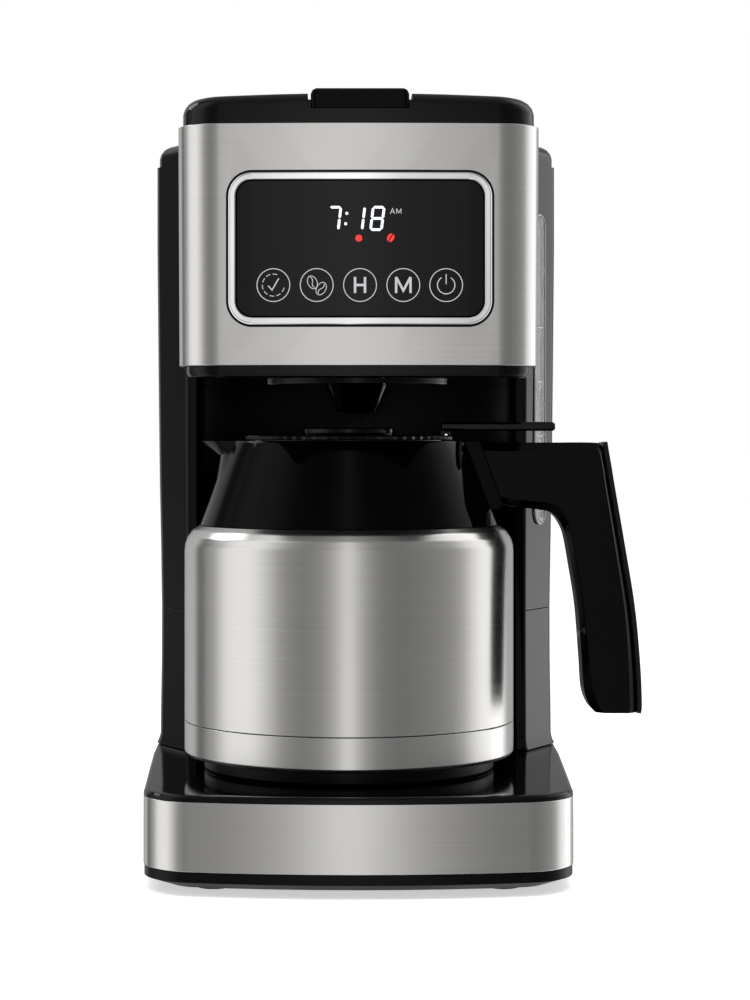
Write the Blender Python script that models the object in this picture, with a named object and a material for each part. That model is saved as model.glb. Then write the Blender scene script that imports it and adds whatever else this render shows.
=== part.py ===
"""Drip coffee maker with a thermal carafe.

Every length below is in millimetres and is scaled to metres as each mesh is made. X runs to the right,
Y to the back and Z up. Zero is on the table, under the middle of the brew head; ROOT_SHIFT then puts
the middle of the whole machine over the world origin.
"""

import math

import bmesh
import bpy
from mathutils import Matrix, Vector

MM = 0.001
GAP = 0.3
ROOT_SHIFT = (-16.04, -25.0, 0.0)
ARC_STEP = 18.0
SHARP_ANGLE = 32.0

# Base
FOOT_HEIGHT = 2.0
PLATE_TOP = 10.8
BAND_BOTTOM = 11.1
BAND_TOP = 42.3
BAND_THICK = 0.9
DECK_TOP = 45.5
DECK_UNDERSIDE = 43.0
BASE_FRONT = -100.0
BASE_BOW_RADIUS = 400.0
BASE_BOW_STATIONS = (0.0, 20.0, 40.0, 60.0)
BASE_REST = ((97.6, -88.8, 27.0), (98.4, -60.0, 0.0), (100.5, -12.0, 0.0), (103.5, 60.0, 0.0),
             (104.9, 150.0, 20.0), (0.0, 150.0, 0.0))
FEET = ((66.0, -66.0), (80.0, 126.0))
FOOT_RADIUS = 9.0
SCREWS = ((82.0, -30.0), (84.0, 70.0))
SCREW_TOP = 22.0
POST_RADIUS = 5.0
PAD_RADIUS = 70.0
PAD_THICK = 1.2
WIRE_WELL = (92.0, 97.0, 138.0)
VENT_LENGTH = 40.0
VENT_WIDTH = 4.0
VENT_STATIONS = (40.0, 50.0, 60.0, 70.0, 80.0)
GLAND_X = -70.0
GLAND_Z = 26.0
GLAND_HOLE = ((8.3, 140.0), (8.3, 160.0))
GLAND_PROFILE = ((3.5, 142.0), (10.5, 142.0), (10.5, 145.8), (8.0, 145.8), (8.0, 149.0), (7.2, 149.8),
                 (3.5, 149.8))

# Tower
TOWER_FRONT = 58.0
TOWER_INNER = 81.5
TOWER_HALF = 104.0
TOWER_BACK = 150.0
TOWER_WALL = 2.5
TOWER_SEAM = 117.0
LOWER_LEVELS = ((45.8, 104.2, 1.2), (47.4, 103.8, 0.5), (51.0, 103.5, 0.0), (68.0, 103.3, 0.0),
                (90.0, 102.9, 0.0), (116.8, 102.8, 0.0))
UPPER_LEVELS = ((117.1, 102.8, 0.0), (150.0, 103.3, 0.0), (183.0, 104.0, 0.0), (240.0, 104.7, 0.0),
                (303.0, 105.3, 0.0), (346.2, 105.3, 0.0))
BAY_CENTRE = 61.0
BAY_DEPTH = 25.0
BAY_HALF = 81.2
BAY_WALL = 2.0
BAY_TOP = 240.0
BAY_STEPS = 16
TANK_BOTTOM = 124.0
TANK_TOP = 333.0
TANK_WALL = 2.0
TANK_FLOOR = 2.5
WINDOW_MIDDLE = (94.6, 73.4)
WINDOW_ALONG = (0.488, 0.873)
WINDOW_HALF = 6.5
WINDOW_BOTTOM = 160.6
WINDOW_TOP = 320.3

# Brew head
HEAD_FRONT = -98.0
HEAD_BOW_RADIUS = 930.0
HEAD_BOW_STATIONS = (0.0, 19.0, 38.0, 57.0)
HEAD_HALF = 81.6
HEAD_CORNER = 20.5
HEAD_BOTTOM = 232.0
FASCIA_BOTTOM = 237.3
FASCIA_TOP = 344.9
FASCIA_THICK = 0.9
FASCIA_TAPER = 0.5
BEZEL_MIDDLE = (0.55, 289.15)
BEZEL_HALF = (58.75, 33.95)
BEZEL_CORNER = 10.7
PORT_RADIUS = 46.5
SPOUT_NOTCH = ((-62.0, -22.0), (50.0, 92.0), (331.0, 350.0))

# Top cover
COVER_FRONT = -96.0
COVER_HALF = 79.5
COVER_CORNER = 18.5
COVER_BOTTOM = 345.3
COVER_REAR_BOTTOM = 346.5
COVER_EDGE = ((0.0, 350.8), (0.8, 353.4), (2.5, 355.5), (4.8, 356.8), (7.4, 357.4))
COVER_INSIDE = ((2.4, 350.0), (4.4, 352.8), (7.4, 354.4))
COVER_CROWN = 2.0
COVER_CROWN_HALF = 80.0
COVER_BACK = 149.4
COVER_BACK_BOW = 3000.0
COVER_COLUMNS = 4
LID_REAR = 117.5
CAP_FRONT = 118.1
HINGE_Y = 118.3
HINGE_Z = 355.6
HINGE_RADIUS = 3.0
HINGE_LUG = (60.0, 70.0)
HINGE_KNUCKLE = (70.3, 80.0)
PIN_RADIUS = 1.25
HINGE_GUTTER = ((117.0, 123.4), (355.2, 400.0))
GUTTER_FLOOR = ((-59.0, 59.0), (118.1, 126.0), (352.6, 355.1))
TAB_MIDDLE = 0.5
TAB_HALF = 22.0
TAB_CORNER = 2.5
TAB_BACK = -70.0
TAB_BOTTOM = 352.0
TAB_TOP = 360.8
NOTCH_SIDE_GAP = 1.3

# Brew basket, filter and drip stop, all on the centre line of the head
BASKET_PROFILE = ((10.0, 217.6), (15.8, 230.5), (45.0, 230.5), (45.0, 234.8), (48.0, 234.8), (57.0, 300.0),
                  (58.0, 318.0), (61.0, 318.0), (61.0, 320.5), (56.0, 320.5), (55.0, 300.0), (46.0, 237.0),
                  (43.0, 233.0), (5.0, 233.0), (5.0, 229.0), (8.0, 227.0), (8.0, 217.6))
FILTER_PROFILE = ((40.0, 241.0), (52.0, 315.0), (52.4, 320.8), (59.0, 320.8), (59.0, 322.3), (51.0, 322.3),
                  (51.2, 315.0), (39.4, 241.8))
DRIP_PROFILE = ((6.0, 216.8), (7.5, 217.6), (7.5, 219.0), (2.5, 219.0), (2.5, 237.0), (1.8, 237.6))
SEAL_PROFILE = ((2.8, 233.3), (8.5, 233.3), (8.5, 235.0), (5.0, 236.2), (2.8, 236.2))
SPRING_RADIUS = 5.4
SPRING_WIRE = 0.45
SPRING_ENDS = (219.8, 226.1)
SPRING_TURNS = 4
SPRING_STATIONS = 9
SHOWER_PROFILE = ((38.0, 338.0), (40.0, 339.5), (40.0, 347.4), (38.2, 347.4), (38.2, 340.6), (37.0, 339.6))

# Carafe, about its own vertical axis
CARAFE_X = -4.0
CARAFE_SEGMENTS = 48
HIDDEN_SEGMENTS = 30
SHELL_PROFILE = ((79.6, 69.5), (79.6, 150.5), (79.3, 154.0), (78.0, 157.6), (75.6, 160.8), (72.0, 163.0),
                 (70.6, 163.0), (70.6, 162.2), (74.9, 160.2), (77.2, 157.2), (78.5, 153.6), (78.8, 150.5),
                 (78.8, 69.5))
BAND_PROFILE = ((79.6, 69.2), (79.6, 54.6), (78.2, 53.0), (70.6, 53.0), (70.6, 53.8), (77.8, 53.8),
                (78.8, 55.0), (78.8, 69.2))
LINER_PROFILE = ((68.0, 57.0), (74.5, 60.0), (76.0, 66.0), (76.0, 148.0), (73.6, 155.0), (66.0, 161.0),
                 (52.5, 165.5), (49.3, 169.0), (49.3, 200.0), (48.5, 200.0), (48.5, 169.4), (52.1, 164.7),
                 (65.4, 160.4), (72.9, 154.6), (75.2, 147.8), (75.2, 66.2), (73.9, 60.7), (67.8, 57.8))
STAND_PROFILE = ((59.0, 48.0), (60.0, 45.8), (69.0, 45.8), (70.0, 47.0), (70.0, 52.7), (66.0, 52.7))
COLLAR_OUTER = ((72.0, 163.3, 0.0), (68.0, 174.0, 0.0), (64.0, 185.0, 0.0), (59.5, 197.0, 3.6),
                (57.4, 202.4, 12.5), (56.6, 203.5, 16.4))
COLLAR_INNER = ((51.4, 203.5, 16.4), (50.8, 202.4, 12.8), (50.8, 197.5, 6.0), (60.5, 186.5, 0.0),
                (65.2, 174.0, 0.0), (69.0, 163.3, 0.0))
SPOUT_HALF_ANGLE = 18.0
BOSS_OUTLINE = ((50.6, 203.1), (58.6, 203.1), (69.4, 173.5), (68.0, 171.0), (62.2, 171.0))
BOSS_HALF = 13.0
HANDLE_OUTER = ((58.95, 202.8), (75.0, 202.8), (95.0, 202.8), (113.0, 202.8), (117.4, 201.6), (119.0, 196.0),
                (121.6, 180.5), (126.0, 155.0), (131.1, 123.5), (133.7, 96.0), (134.5, 77.0), (134.0, 72.8))
HANDLE_INNER = ((69.75, 173.2), (76.0, 171.7), (90.6, 170.0), (95.7, 167.0), (99.2, 161.3), (100.8, 156.0),
                (102.7, 145.4), (106.0, 124.6), (108.0, 99.8), (109.1, 84.0), (111.6, 76.5), (114.6, 72.9))
HANDLE_HALF = 13.0
HANDLE_CHAMFER = 4.0
HANDLE_SCREW_Z = 190.0
STRIP_START = 5
STRIP_TOP = (117.9, 202.8)
STRIP_THICK = 2.6
STRIP_HALF = 10.5
SCREW_HEAD_RADIUS = 3.6
SCREW_SHANK_RADIUS = 1.6

# Carafe lid
CUP_PROFILE = ((46.0, 186.0), (46.0, 189.7), (44.8, 189.7), (44.8, 193.3), (46.0, 193.3), (46.0, 203.2),
               (43.8, 203.2), (43.8, 194.0), (42.6, 193.3), (42.6, 189.0), (42.0, 188.4))
GASKET_PROFILE = ((45.1, 190.0), (47.4, 190.0), (48.2, 191.5), (47.4, 193.0), (45.1, 193.0))
LID_TOP_LEVELS = ((46.5, 203.5), (46.5, 204.0), (50.0, 204.2), (50.0, 205.6), (49.0, 206.2), (24.5, 206.6),
                  (22.6, 207.4), (22.6, 209.3), (22.0, 209.8), (19.5, 209.8), (17.5, 206.0), (8.0, 204.8),
                  (6.5, 203.5))
LID_TEETH = 30
TOOTH_DEPTH = 0.9
LEVER_BAR = ((41.0, 95.5), (208.4, 212.7))
LEVER_HALF = 8.0
LEVER_ROOT_HALF = 3.6
LEVER_ROOT = ((41.6, 208.9), (45.2, 208.9), (45.2, 205.4), (43.6, 203.9), (29.5, 202.4), (29.5, 204.4),
              (40.4, 205.4), (40.4, 207.8))
LEVER_AXIS = (42.8, 206.4)
LEVER_PIN_RADIUS = 0.9
LEVER_PIN_HOLE = ((1.2, -9.0), (1.2, 9.0))
EAR_HALF = 1.6
EAR_CENTRE = 5.9
EAR_TOP = 208.0
EAR_X = (40.8, 44.4)
LEVER_SLOT = ((28.8, 52.0), 4.0)
VALVE_X = 31.5
VALVE_PROFILE = ((5.4, 188.9), (5.8, 189.8), (5.4, 191.0), (2.0, 191.6), (2.0, 202.1))
POUR_HOLE_RADIUS = 4.6

# Water path and electrics
HEATER_RADIUS = 48.0
HEATER_MIDDLE_Y = 20.0
HEATER_Z = 26.0
HEATER_LEG = 76.0
HEATER_TUBE = (6.5, 4.0)
HOSE_TUBE = (4.5, 3.0)
FEED_X = 60.0
FEED_Y = 118.0
RISER_X = -87.5
RISER_Y = 112.0
CHECK_VALVE_Z = (72.0, 90.0)
BRACKET_PROFILE = ((-24.0, 4.8), (24.0, 4.8), (24.0, 6.4), (12.0, 6.4), (12.0, 19.1), (-12.0, 19.1),
                   (-12.0, 6.4), (-24.0, 6.4))
BRACKET_HALF = 7.0
THERMOSTAT_PROFILE = ((8.0, 32.9), (8.0, 37.0), (5.0, 37.0), (5.0, 40.0))
FUSE_PROFILE = ((2.0, 38.0), (2.4, 39.0), (2.4, 51.0), (2.0, 52.0))
FUSE_Z = 36.0
CONTROL_BOARD = ((-52.0, 53.0), (-87.1, -85.5), (259.0, 319.0))
DISPLAY_MODULE = ((-14.0, 34.0), (-93.4, -87.4), (284.0, 316.0))
POWER_BOARD = ((-55.0, 35.0), (134.0, 135.6), (50.0, 112.0))
TUBE_SEGMENTS = 8

# Finishes: base colour, metallic, roughness, transmission
BLACK_GLOSS = ((0.012, 0.012, 0.013), 0.0, 0.12, 0.0)
BLACK_MATTE = ((0.02, 0.02, 0.021), 0.0, 0.55, 0.0)
STEEL = ((0.62, 0.61, 0.59), 1.0, 0.32, 0.0)
CHROME = ((0.82, 0.82, 0.82), 1.0, 0.08, 0.0)
ALUMINIUM = ((0.72, 0.72, 0.73), 1.0, 0.4, 0.0)
DARK_GLASS = ((0.01, 0.01, 0.012), 0.0, 0.04, 0.0)
CLEAR = ((0.85, 0.88, 0.9), 0.0, 0.08, 0.85)
RUBBER = ((0.03, 0.03, 0.03), 0.0, 0.8, 0.0)
SILICONE = ((0.75, 0.75, 0.72), 0.0, 0.5, 0.3)
BOARD_GREEN = ((0.02, 0.14, 0.06), 0.0, 0.5, 0.0)
BRASS_MESH = ((0.75, 0.58, 0.25), 1.0, 0.35, 0.0)

LOOP = "loop"
FLAT = "flat"
MIRRORED = "mirrored"
STRIP = "strip"


def clear_scene():
    for obj in list(bpy.data.objects):
        bpy.data.objects.remove(obj, do_unlink=True)


# Plan outlines. Each runs counter-clockwise seen from above, so that its inside is on the left.


def round_path(corners):
    """An open path through (x, y, radius) corners, each corner rounded by its radius."""
    path = []
    for index, (x, y, radius) in enumerate(corners):
        if radius == 0:
            path.append((x, y))
            continue
        here = Vector((x, y))
        back = (Vector(corners[index - 1][:2]) - here).normalized()
        ahead = (Vector(corners[index + 1][:2]) - here).normalized()
        half_angle = back.angle(ahead) / 2
        turn = math.pi - 2 * half_angle
        centre = here + (back + ahead).normalized() * radius / math.sin(half_angle)
        start = here + back * radius / math.tan(half_angle) - centre
        left_turn = back.x * ahead.y < back.y * ahead.x
        steps = max(1, round(math.degrees(turn) / ARC_STEP))
        for step in range(steps + 1):
            angle = (turn if left_turn else -turn) * step / steps
            path.append(tuple(centre + Matrix.Rotation(angle, 2) @ start))
    return path


def mirrored(half):
    """A closed outline from its right half, which starts and ends on the centre line."""
    return half + [(-x, y) for x, y in reversed(half[1:-1])]


def offset(path, distance, closed=True):
    """The path moved to its left by the distance, which is inwards for an outline."""
    moved = []
    last = len(path) - 1
    for index, point in enumerate(path):
        here = Vector(point)
        arriving = here - Vector(path[index - 1])
        leaving = Vector(path[(index + 1) % len(path)]) - here
        if not closed and index == 0:
            arriving = leaving
        if not closed and index == last:
            leaving = arriving
        first = Vector((-arriving.y, arriving.x)).normalized()
        second = Vector((-leaving.y, leaving.x)).normalized()
        moved.append(tuple(here + (first + second) * distance / (1 + first.dot(second))))
    return moved


def at_height(outline, z):
    return [(x, y, z) for x, y in outline]


def strip_ring(path, thickness, z):
    """Ring round a wall that follows an open path."""
    return at_height(path + offset(path, thickness, closed=False)[::-1], z)


def base_outline(inset):
    half = [(x, BASE_FRONT + x * x / (2 * BASE_BOW_RADIUS)) for x in BASE_BOW_STATIONS]
    return offset(mirrored(half + round_path((half[-1] + (0.0,),) + BASE_REST)[1:]), inset)


def tower_path(half_width, flare):
    """The outer face of the tower, from the right column round the back to the left column."""
    half = round_path(((TOWER_INNER, TOWER_FRONT, 0.0), (86.3, TOWER_FRONT + 0.6, 3.0),
                       (TOWER_HALF - 1.4, 88.4, 14.0), (TOWER_HALF, TOWER_BACK, 18.0), (0.0, TOWER_BACK, 0.0)))
    stretch = (half_width - TOWER_INNER) / (TOWER_HALF - TOWER_INNER)
    half = [(x + max(0.0, x - TOWER_INNER) * (stretch - 1), y) for x, y in half]
    path = half + [(-x, y) for x, y in reversed(half[:-1])]
    outside = offset(path, -flare, closed=False)
    return [(x, min(y, TOWER_BACK)) for x, y in outside]


def bay_curve(grow):
    """The concave wall behind the carafe, from right to left."""
    points = []
    for step in range(BAY_STEPS + 1):
        angle = math.pi * step / BAY_STEPS
        points.append(((BAY_HALF + grow) * math.cos(angle),
                       BAY_CENTRE + (BAY_DEPTH + grow) * math.sin(angle)))
    return points


def head_front_y(x):
    return HEAD_FRONT + x * x / (2 * HEAD_BOW_RADIUS)


def head_side_half():
    """The right half of the head's front and side, from the centre line to the tower."""
    half = [(x, head_front_y(x)) for x in HEAD_BOW_STATIONS]
    corner = (HEAD_HALF, head_front_y(HEAD_HALF) - 0.8, HEAD_CORNER)
    return half + round_path((half[-1] + (0.0,), corner, (HEAD_HALF, TOWER_FRONT - GAP, 0.0)))[1:]


def bucket_outline(inset):
    """The closed plan of the head moulding: its front, its sides and the bay curve at the back."""
    bay = bay_curve(0.4)[1: BAY_STEPS // 2 + 1]
    return offset(mirrored(head_side_half() + bay), inset)


def cover_outline(inset):
    """The closed plan of the lid and the rear cap together."""
    front = [(x, COVER_FRONT + x * x / (2 * HEAD_BOW_RADIUS)) for x in HEAD_BOW_STATIONS]
    rear = [(x, COVER_BACK - x * x / (2 * COVER_BACK_BOW), 0.0) for x in reversed(HEAD_BOW_STATIONS)]
    rest = ((COVER_HALF, COVER_FRONT + 2.9, COVER_CORNER), (COVER_HALF, 56.6, 2.0), (85.2, 59.0, 0.0),
            (102.6, 88.6, 14.0), (104.0, COVER_BACK - 1.0, 18.0))
    return offset(mirrored(front + round_path((front[-1] + (0.0,),) + rest + tuple(rear))[1:]), inset)


def cover_foot(inset):
    """The bottom edge of the cover, which sits a little higher over the tower than over the head."""
    ring = []
    for x, y in cover_outline(inset):
        over_head = y < TOWER_FRONT - 1.0 and abs(x) < COVER_HALF + 0.5
        ring.append((x, y, COVER_BOTTOM if over_head else COVER_REAR_BOTTOM))
    return ring


def rounded_rectangle(middle, half, corner):
    """A closed outline, starting at the middle of its right side, with stations along the long sides."""
    side = ((half[0], 0.0, 0.0), (half[0], half[1], corner), (20.0, half[1], 0.0), (0.0, half[1], 0.0))
    quarter = round_path(side)
    upper = quarter + [(-x, z) for x, z in reversed(quarter[:-1])]
    ring = upper + [(x, -z) for x, z in reversed(upper[1:-1])]
    return [(middle[0] + x, middle[1] + z) for x, z in ring]


# Bodies


def cap(first, count, ends):
    """Faces that close a ring: one face, or rows across it where its two halves mirror each other."""
    if ends == FLAT:
        return [tuple(range(first, first + count))]
    if ends == STRIP:
        pairs = [(step, count - 1 - step) for step in range(count // 2)]
        loops = []
    else:
        half = count // 2
        pairs = [(step, count - step) for step in range(2, half - 1)]
        loops = [(0, 1, 2, count - 2, count - 1), (half - 2, half - 1, half, half + 1, half + 2)]
    for (left, right), (next_left, next_right) in zip(pairs[:-1], pairs[1:], strict=True):
        loops.append((left, next_left, next_right, right))
    return [tuple(first + corner for corner in loop) for loop in loops]


def skin(rings, ends):
    """A closed body through rings of equal length. LOOP joins the last ring to the first."""
    count = len(rings[0])
    faces = []
    for row in range(len(rings) if ends == LOOP else len(rings) - 1):
        low = row * count
        high = (row + 1) % len(rings) * count
        for column in range(count):
            after = (column + 1) % count
            faces.append((low + column, low + after, high + after, high + column))
    if ends != LOOP:
        faces += cap(0, count, ends)
        faces += cap((len(rings) - 1) * count, count, ends)
    return [point for ring in rings for point in ring], faces


def revolve(profile, ends=LOOP, centre=(0.0, 0.0), segments=36):
    """A body turned about a vertical axis from (radius, z) points."""
    rings = []
    for radius, z in profile:
        ring = []
        for step in range(segments):
            angle = 2 * math.pi * step / segments
            ring.append((centre[0] + radius * math.cos(angle), centre[1] + radius * math.sin(angle), z))
        rings.append(ring)
    return skin(rings, ends)


def cylinder(centre, radius, low, high, segments=24):
    return revolve(((radius, low), (radius, high)), FLAT, centre, segments)


def cylinder_along_x(centre, radius, low, high, segments=16):
    """A cylinder about the line y, z = centre."""
    turns = [2 * math.pi * step / segments for step in range(segments)]
    circle = [(centre[0] + radius * math.cos(turn), centre[1] + radius * math.sin(turn)) for turn in turns]
    return skin([[(x, y, z) for y, z in circle] for x in (low, high)], FLAT)


def turned_along_y(centre, profile, ends=FLAT, segments=24):
    """A turned body about the line x, z = centre, from its (radius, y) profile."""
    turns = [2 * math.pi * step / segments for step in range(segments)]
    rings = []
    for radius, y in profile:
        rings.append([(centre[0] + radius * math.cos(turn), y, centre[1] + radius * math.sin(turn))
                      for turn in turns])
    return skin(rings, ends)


def box(x_range, y_range, z_range, chamfer=0.0):
    """A box with its four upright edges and its top and bottom edges chamfered."""
    rings = []
    low, high = z_range
    levels = ((low, chamfer), (low + chamfer, 0.0), (high - chamfer, 0.0), (high, chamfer))
    for z, shrink in levels if chamfer else ((z_range[0], 0.0), (z_range[1], 0.0)):
        x0 = x_range[0] + shrink
        x1 = x_range[1] - shrink
        y0 = y_range[0] + shrink
        y1 = y_range[1] - shrink
        if chamfer:
            ring = [(x0 + chamfer, y0), (x1 - chamfer, y0), (x1, y0 + chamfer), (x1, y1 - chamfer),
                    (x1 - chamfer, y1), (x0 + chamfer, y1), (x0, y1 - chamfer), (x0, y0 + chamfer)]
        else:
            ring = [(x0, y0), (x1, y0), (x1, y1), (x0, y1)]
        rings.append(at_height(ring, z))
    return skin(rings, FLAT)


def prism_along_y(outline, half):
    """An (x, z) outline pushed out to both sides of the centre plane."""
    return skin([[(x, y, z) for x, z in outline] for y in (-half, half)], FLAT)


def pipe(path, outer, bore, segments=TUBE_SEGMENTS):
    """A hollow pipe along a path, or a solid rod where the bore is zero."""
    points = [Vector(point) for point in path]
    outside = []
    inside = []
    across = None
    for index, here in enumerate(points):
        ahead = (points[min(index + 1, len(points) - 1)] - points[max(index - 1, 0)]).normalized()
        if across is None:
            across = ahead.orthogonal()
        across = (across - ahead * across.dot(ahead)).normalized()
        up = ahead.cross(across)
        turns = [2 * math.pi * step / segments for step in range(segments)]
        spokes = [across * math.cos(turn) + up * math.sin(turn) for turn in turns]
        outside.append([tuple(here + spoke * outer) for spoke in spokes])
        inside.append([tuple(here + spoke * bore) for spoke in spokes])
    if bore == 0:
        return skin(outside, FLAT)
    return skin(outside + inside[::-1], LOOP)


def joined(*shapes):
    """Several separate bodies as one helper shape."""
    points = []
    faces = []
    for more_points, more_faces in shapes:
        faces += [tuple(corner + len(points) for corner in face) for face in more_faces]
        points += more_points
    return points, faces


# Scene objects


def material_for(name, finish):
    colour, metallic, roughness, transmission = finish
    material = bpy.data.materials.new(name)
    material.use_nodes = True
    shader = material.node_tree.nodes["Principled BSDF"]
    shader.inputs["Base Color"].default_value = (*colour, 1.0)
    shader.inputs["Metallic"].default_value = metallic
    shader.inputs["Roughness"].default_value = roughness
    shader.inputs["Transmission Weight"].default_value = transmission
    return material


def add_body(name, parent, at):
    """An empty on a joint's axis that carries the pieces of one moving body."""
    empty = bpy.data.objects.new(name, None)
    bpy.context.collection.objects.link(empty)
    empty.parent = parent
    empty["at"] = at
    start = parent["at"] if parent else (0.0, 0.0, 0.0)
    empty.location = (Vector(at) - Vector(start)) * MM
    return empty


def mesh_object(name, body, shape, origin):
    points, faces = shape
    here = Vector(origin)
    mesh = bpy.data.meshes.new(name)
    mesh.from_pydata([(Vector(point) - here) * MM for point in points], [], faces)
    work = bmesh.new()
    work.from_mesh(mesh)
    bmesh.ops.recalc_face_normals(work, faces=work.faces)
    work.to_mesh(mesh)
    work.free()
    mesh.shade_smooth()
    mesh.set_sharp_from_angle(angle=math.radians(SHARP_ANGLE))
    obj = bpy.data.objects.new(name, mesh)
    bpy.context.collection.objects.link(obj)
    obj.parent = body
    obj.location = (here - Vector(body["at"])) * MM
    return obj


def add(name, body, finish, shape, origin):
    obj = mesh_object(name, body, shape, origin)
    obj.data.materials.append(material_for(name, finish))
    return obj


def combine(target, name, operation, shape):
    """Adds one Boolean to a piece. Its helper shape never renders."""
    helper = mesh_object(f"{target.name}_{name}", target.parent, shape, target.parent["at"])
    helper.hide_render = True
    helper.display_type = "WIRE"
    modifier = target.modifiers.new(name, "BOOLEAN")
    modifier.operation = operation
    modifier.solver = "EXACT"
    modifier.object = helper


def both_sides(places):
    return [(side * x, y) for x, y in places for side in (-1, 1)]


def build_base(root):
    sections = ((3.6, DECK_UNDERSIDE), (3.6, BAND_BOTTOM), (BAND_THICK + GAP, BAND_BOTTOM),
                (BAND_THICK + GAP, BAND_TOP + GAP), (0.0, BAND_TOP + GAP), (0.2, DECK_TOP - 1.4),
                (1.0, DECK_TOP - 0.4), (2.6, DECK_TOP))
    shell = add("base_shell", root, BLACK_GLOSS,
                skin([at_height(base_outline(inset), z) for inset, z in sections], MIRRORED), (0, 0, DECK_TOP))
    posts = [cylinder(place, POST_RADIUS, 5.0, DECK_TOP - 1.0, 20) for place in both_sides(SCREWS)]
    combine(shell, "posts", "UNION", joined(*posts))
    half, front, back = WIRE_WELL
    combine(shell, "wells", "DIFFERENCE", joined(
        *[cylinder(place, SCREW_SHANK_RADIUS + GAP, 4.0, SCREW_TOP + 1.0, 16) for place in both_sides(SCREWS)],
        box((-half, half), (front, back), (30.0, 60.0)),
        cylinder((CARAFE_X, 0.0), PAD_RADIUS + GAP, DECK_TOP - PAD_THICK - GAP, 60.0, CARAFE_SEGMENTS),
        turned_along_y((GLAND_X, GLAND_Z), GLAND_HOLE)))

    band = [(0.0, BAND_BOTTOM), (0.0, BAND_TOP), (BAND_THICK, BAND_TOP), (BAND_THICK, BAND_BOTTOM)]
    wrap = add("base_band", root, STEEL, skin([at_height(base_outline(inset), z) for inset, z in band], LOOP),
               (0, 0, BAND_BOTTOM))
    combine(wrap, "gland_hole", "DIFFERENCE",
            turned_along_y((GLAND_X, GLAND_Z), GLAND_HOLE))

    tray = ((13.0, FOOT_HEIGHT), (0.4, 6.3), (0.4, PLATE_TOP), (3.9, PLATE_TOP), (3.9, 14.0), (5.4, 14.0),
            (5.4, 7.2), (13.0, 4.4))
    plate = add("base_plate", root, BLACK_MATTE,
                skin([at_height(base_outline(inset), z) for inset, z in tray], MIRRORED), (0, 0, FOOT_HEIGHT))
    half = VENT_LENGTH / 2
    vents = [box((-half, half), (y, y + VENT_WIDTH), (0.0, 8.0)) for y in VENT_STATIONS]
    combine(plate, "openings", "DIFFERENCE", joined(
        *[cylinder(place, FOOT_RADIUS + GAP, 0.0, 3.5) for place in both_sides(FEET)],
        *[revolve(((4.0, 0.0), (4.0, 3.5), (SCREW_SHANK_RADIUS + GAP, 3.5), (SCREW_SHANK_RADIUS + GAP, 8.0)),
                  FLAT, place, 16) for place in both_sides(SCREWS)],
        *vents))

    for index, place in enumerate(both_sides(FEET), 1):
        foot = ((FOOT_RADIUS - 1.0, 0.0), (FOOT_RADIUS, 0.8), (FOOT_RADIUS, 3.2))
        add(f"foot_{index}", root, RUBBER, revolve(foot, FLAT, place, 24), (*place, 0.0))
    for index, place in enumerate(both_sides(SCREWS), 1):
        add(f"base_screw_{index}", root, CHROME, base_screw(place), (*place, 2.2))
    pad = ((PAD_RADIUS, DECK_TOP - PAD_THICK), (PAD_RADIUS, DECK_TOP - 0.3), (PAD_RADIUS - 0.3, DECK_TOP))
    add("rest_pad", root, BLACK_MATTE, revolve(pad, FLAT, (CARAFE_X, 0.0), CARAFE_SEGMENTS),
        (CARAFE_X, 0, DECK_TOP))


def base_screw(place):
    profile = ((2.4, 2.2), (SCREW_HEAD_RADIUS, 2.6), (SCREW_HEAD_RADIUS, 3.2), (SCREW_SHANK_RADIUS, 3.2),
               (SCREW_SHANK_RADIUS, SCREW_TOP - 1.5), (0.6, SCREW_TOP))
    return revolve(profile, FLAT, place, 12)


def tower_shell(levels):
    rings = [strip_ring(tower_path(half_width, flare), TOWER_WALL, z) for z, half_width, flare in levels]
    return skin(rings, STRIP)


def window_outline(shrink):
    """The level window's rounded slot, as (distance along the slanted face, z)."""
    radius = WINDOW_HALF - shrink
    points = []
    for middle, start in ((WINDOW_TOP - WINDOW_HALF, 0), (WINDOW_BOTTOM + WINDOW_HALF, 6)):
        for step in range(7):
            angle = math.pi * (start + step) / 6
            points.append((radius * math.cos(angle), middle + radius * math.sin(angle)))
    return points


def window_slab(shrink, outer, inner):
    """A slab the shape of the window, between two distances outside the slanted face."""
    rings = []
    for out in (outer, inner):
        ring = []
        for along, z in window_outline(shrink):
            x = WINDOW_MIDDLE[0] + along * WINDOW_ALONG[0] + out * WINDOW_ALONG[1]
            y = WINDOW_MIDDLE[1] + along * WINDOW_ALONG[1] - out * WINDOW_ALONG[0]
            ring.append((x, y, z))
        rings.append(ring)
    return skin(rings, FLAT)


def tank_outline(inset):
    """The plan of the water tank, which fills the tower but for the riser's channel on the left."""
    front = [(x, y) for x, y in bay_curve(3.4) if abs(x) < 76.0][::-1]
    right = round_path(((front[-1][0], front[-1][1], 0.0), (87.6, 70.9, 4.0), (98.4, 90.0, 8.0),
                        (98.4, 146.4, 14.0), (-81.5, 146.4, 8.0), (-81.5, 92.0, 6.0),
                        (front[0][0], front[0][1], 0.0)))
    return offset(front + right[1:-1], inset)


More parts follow.
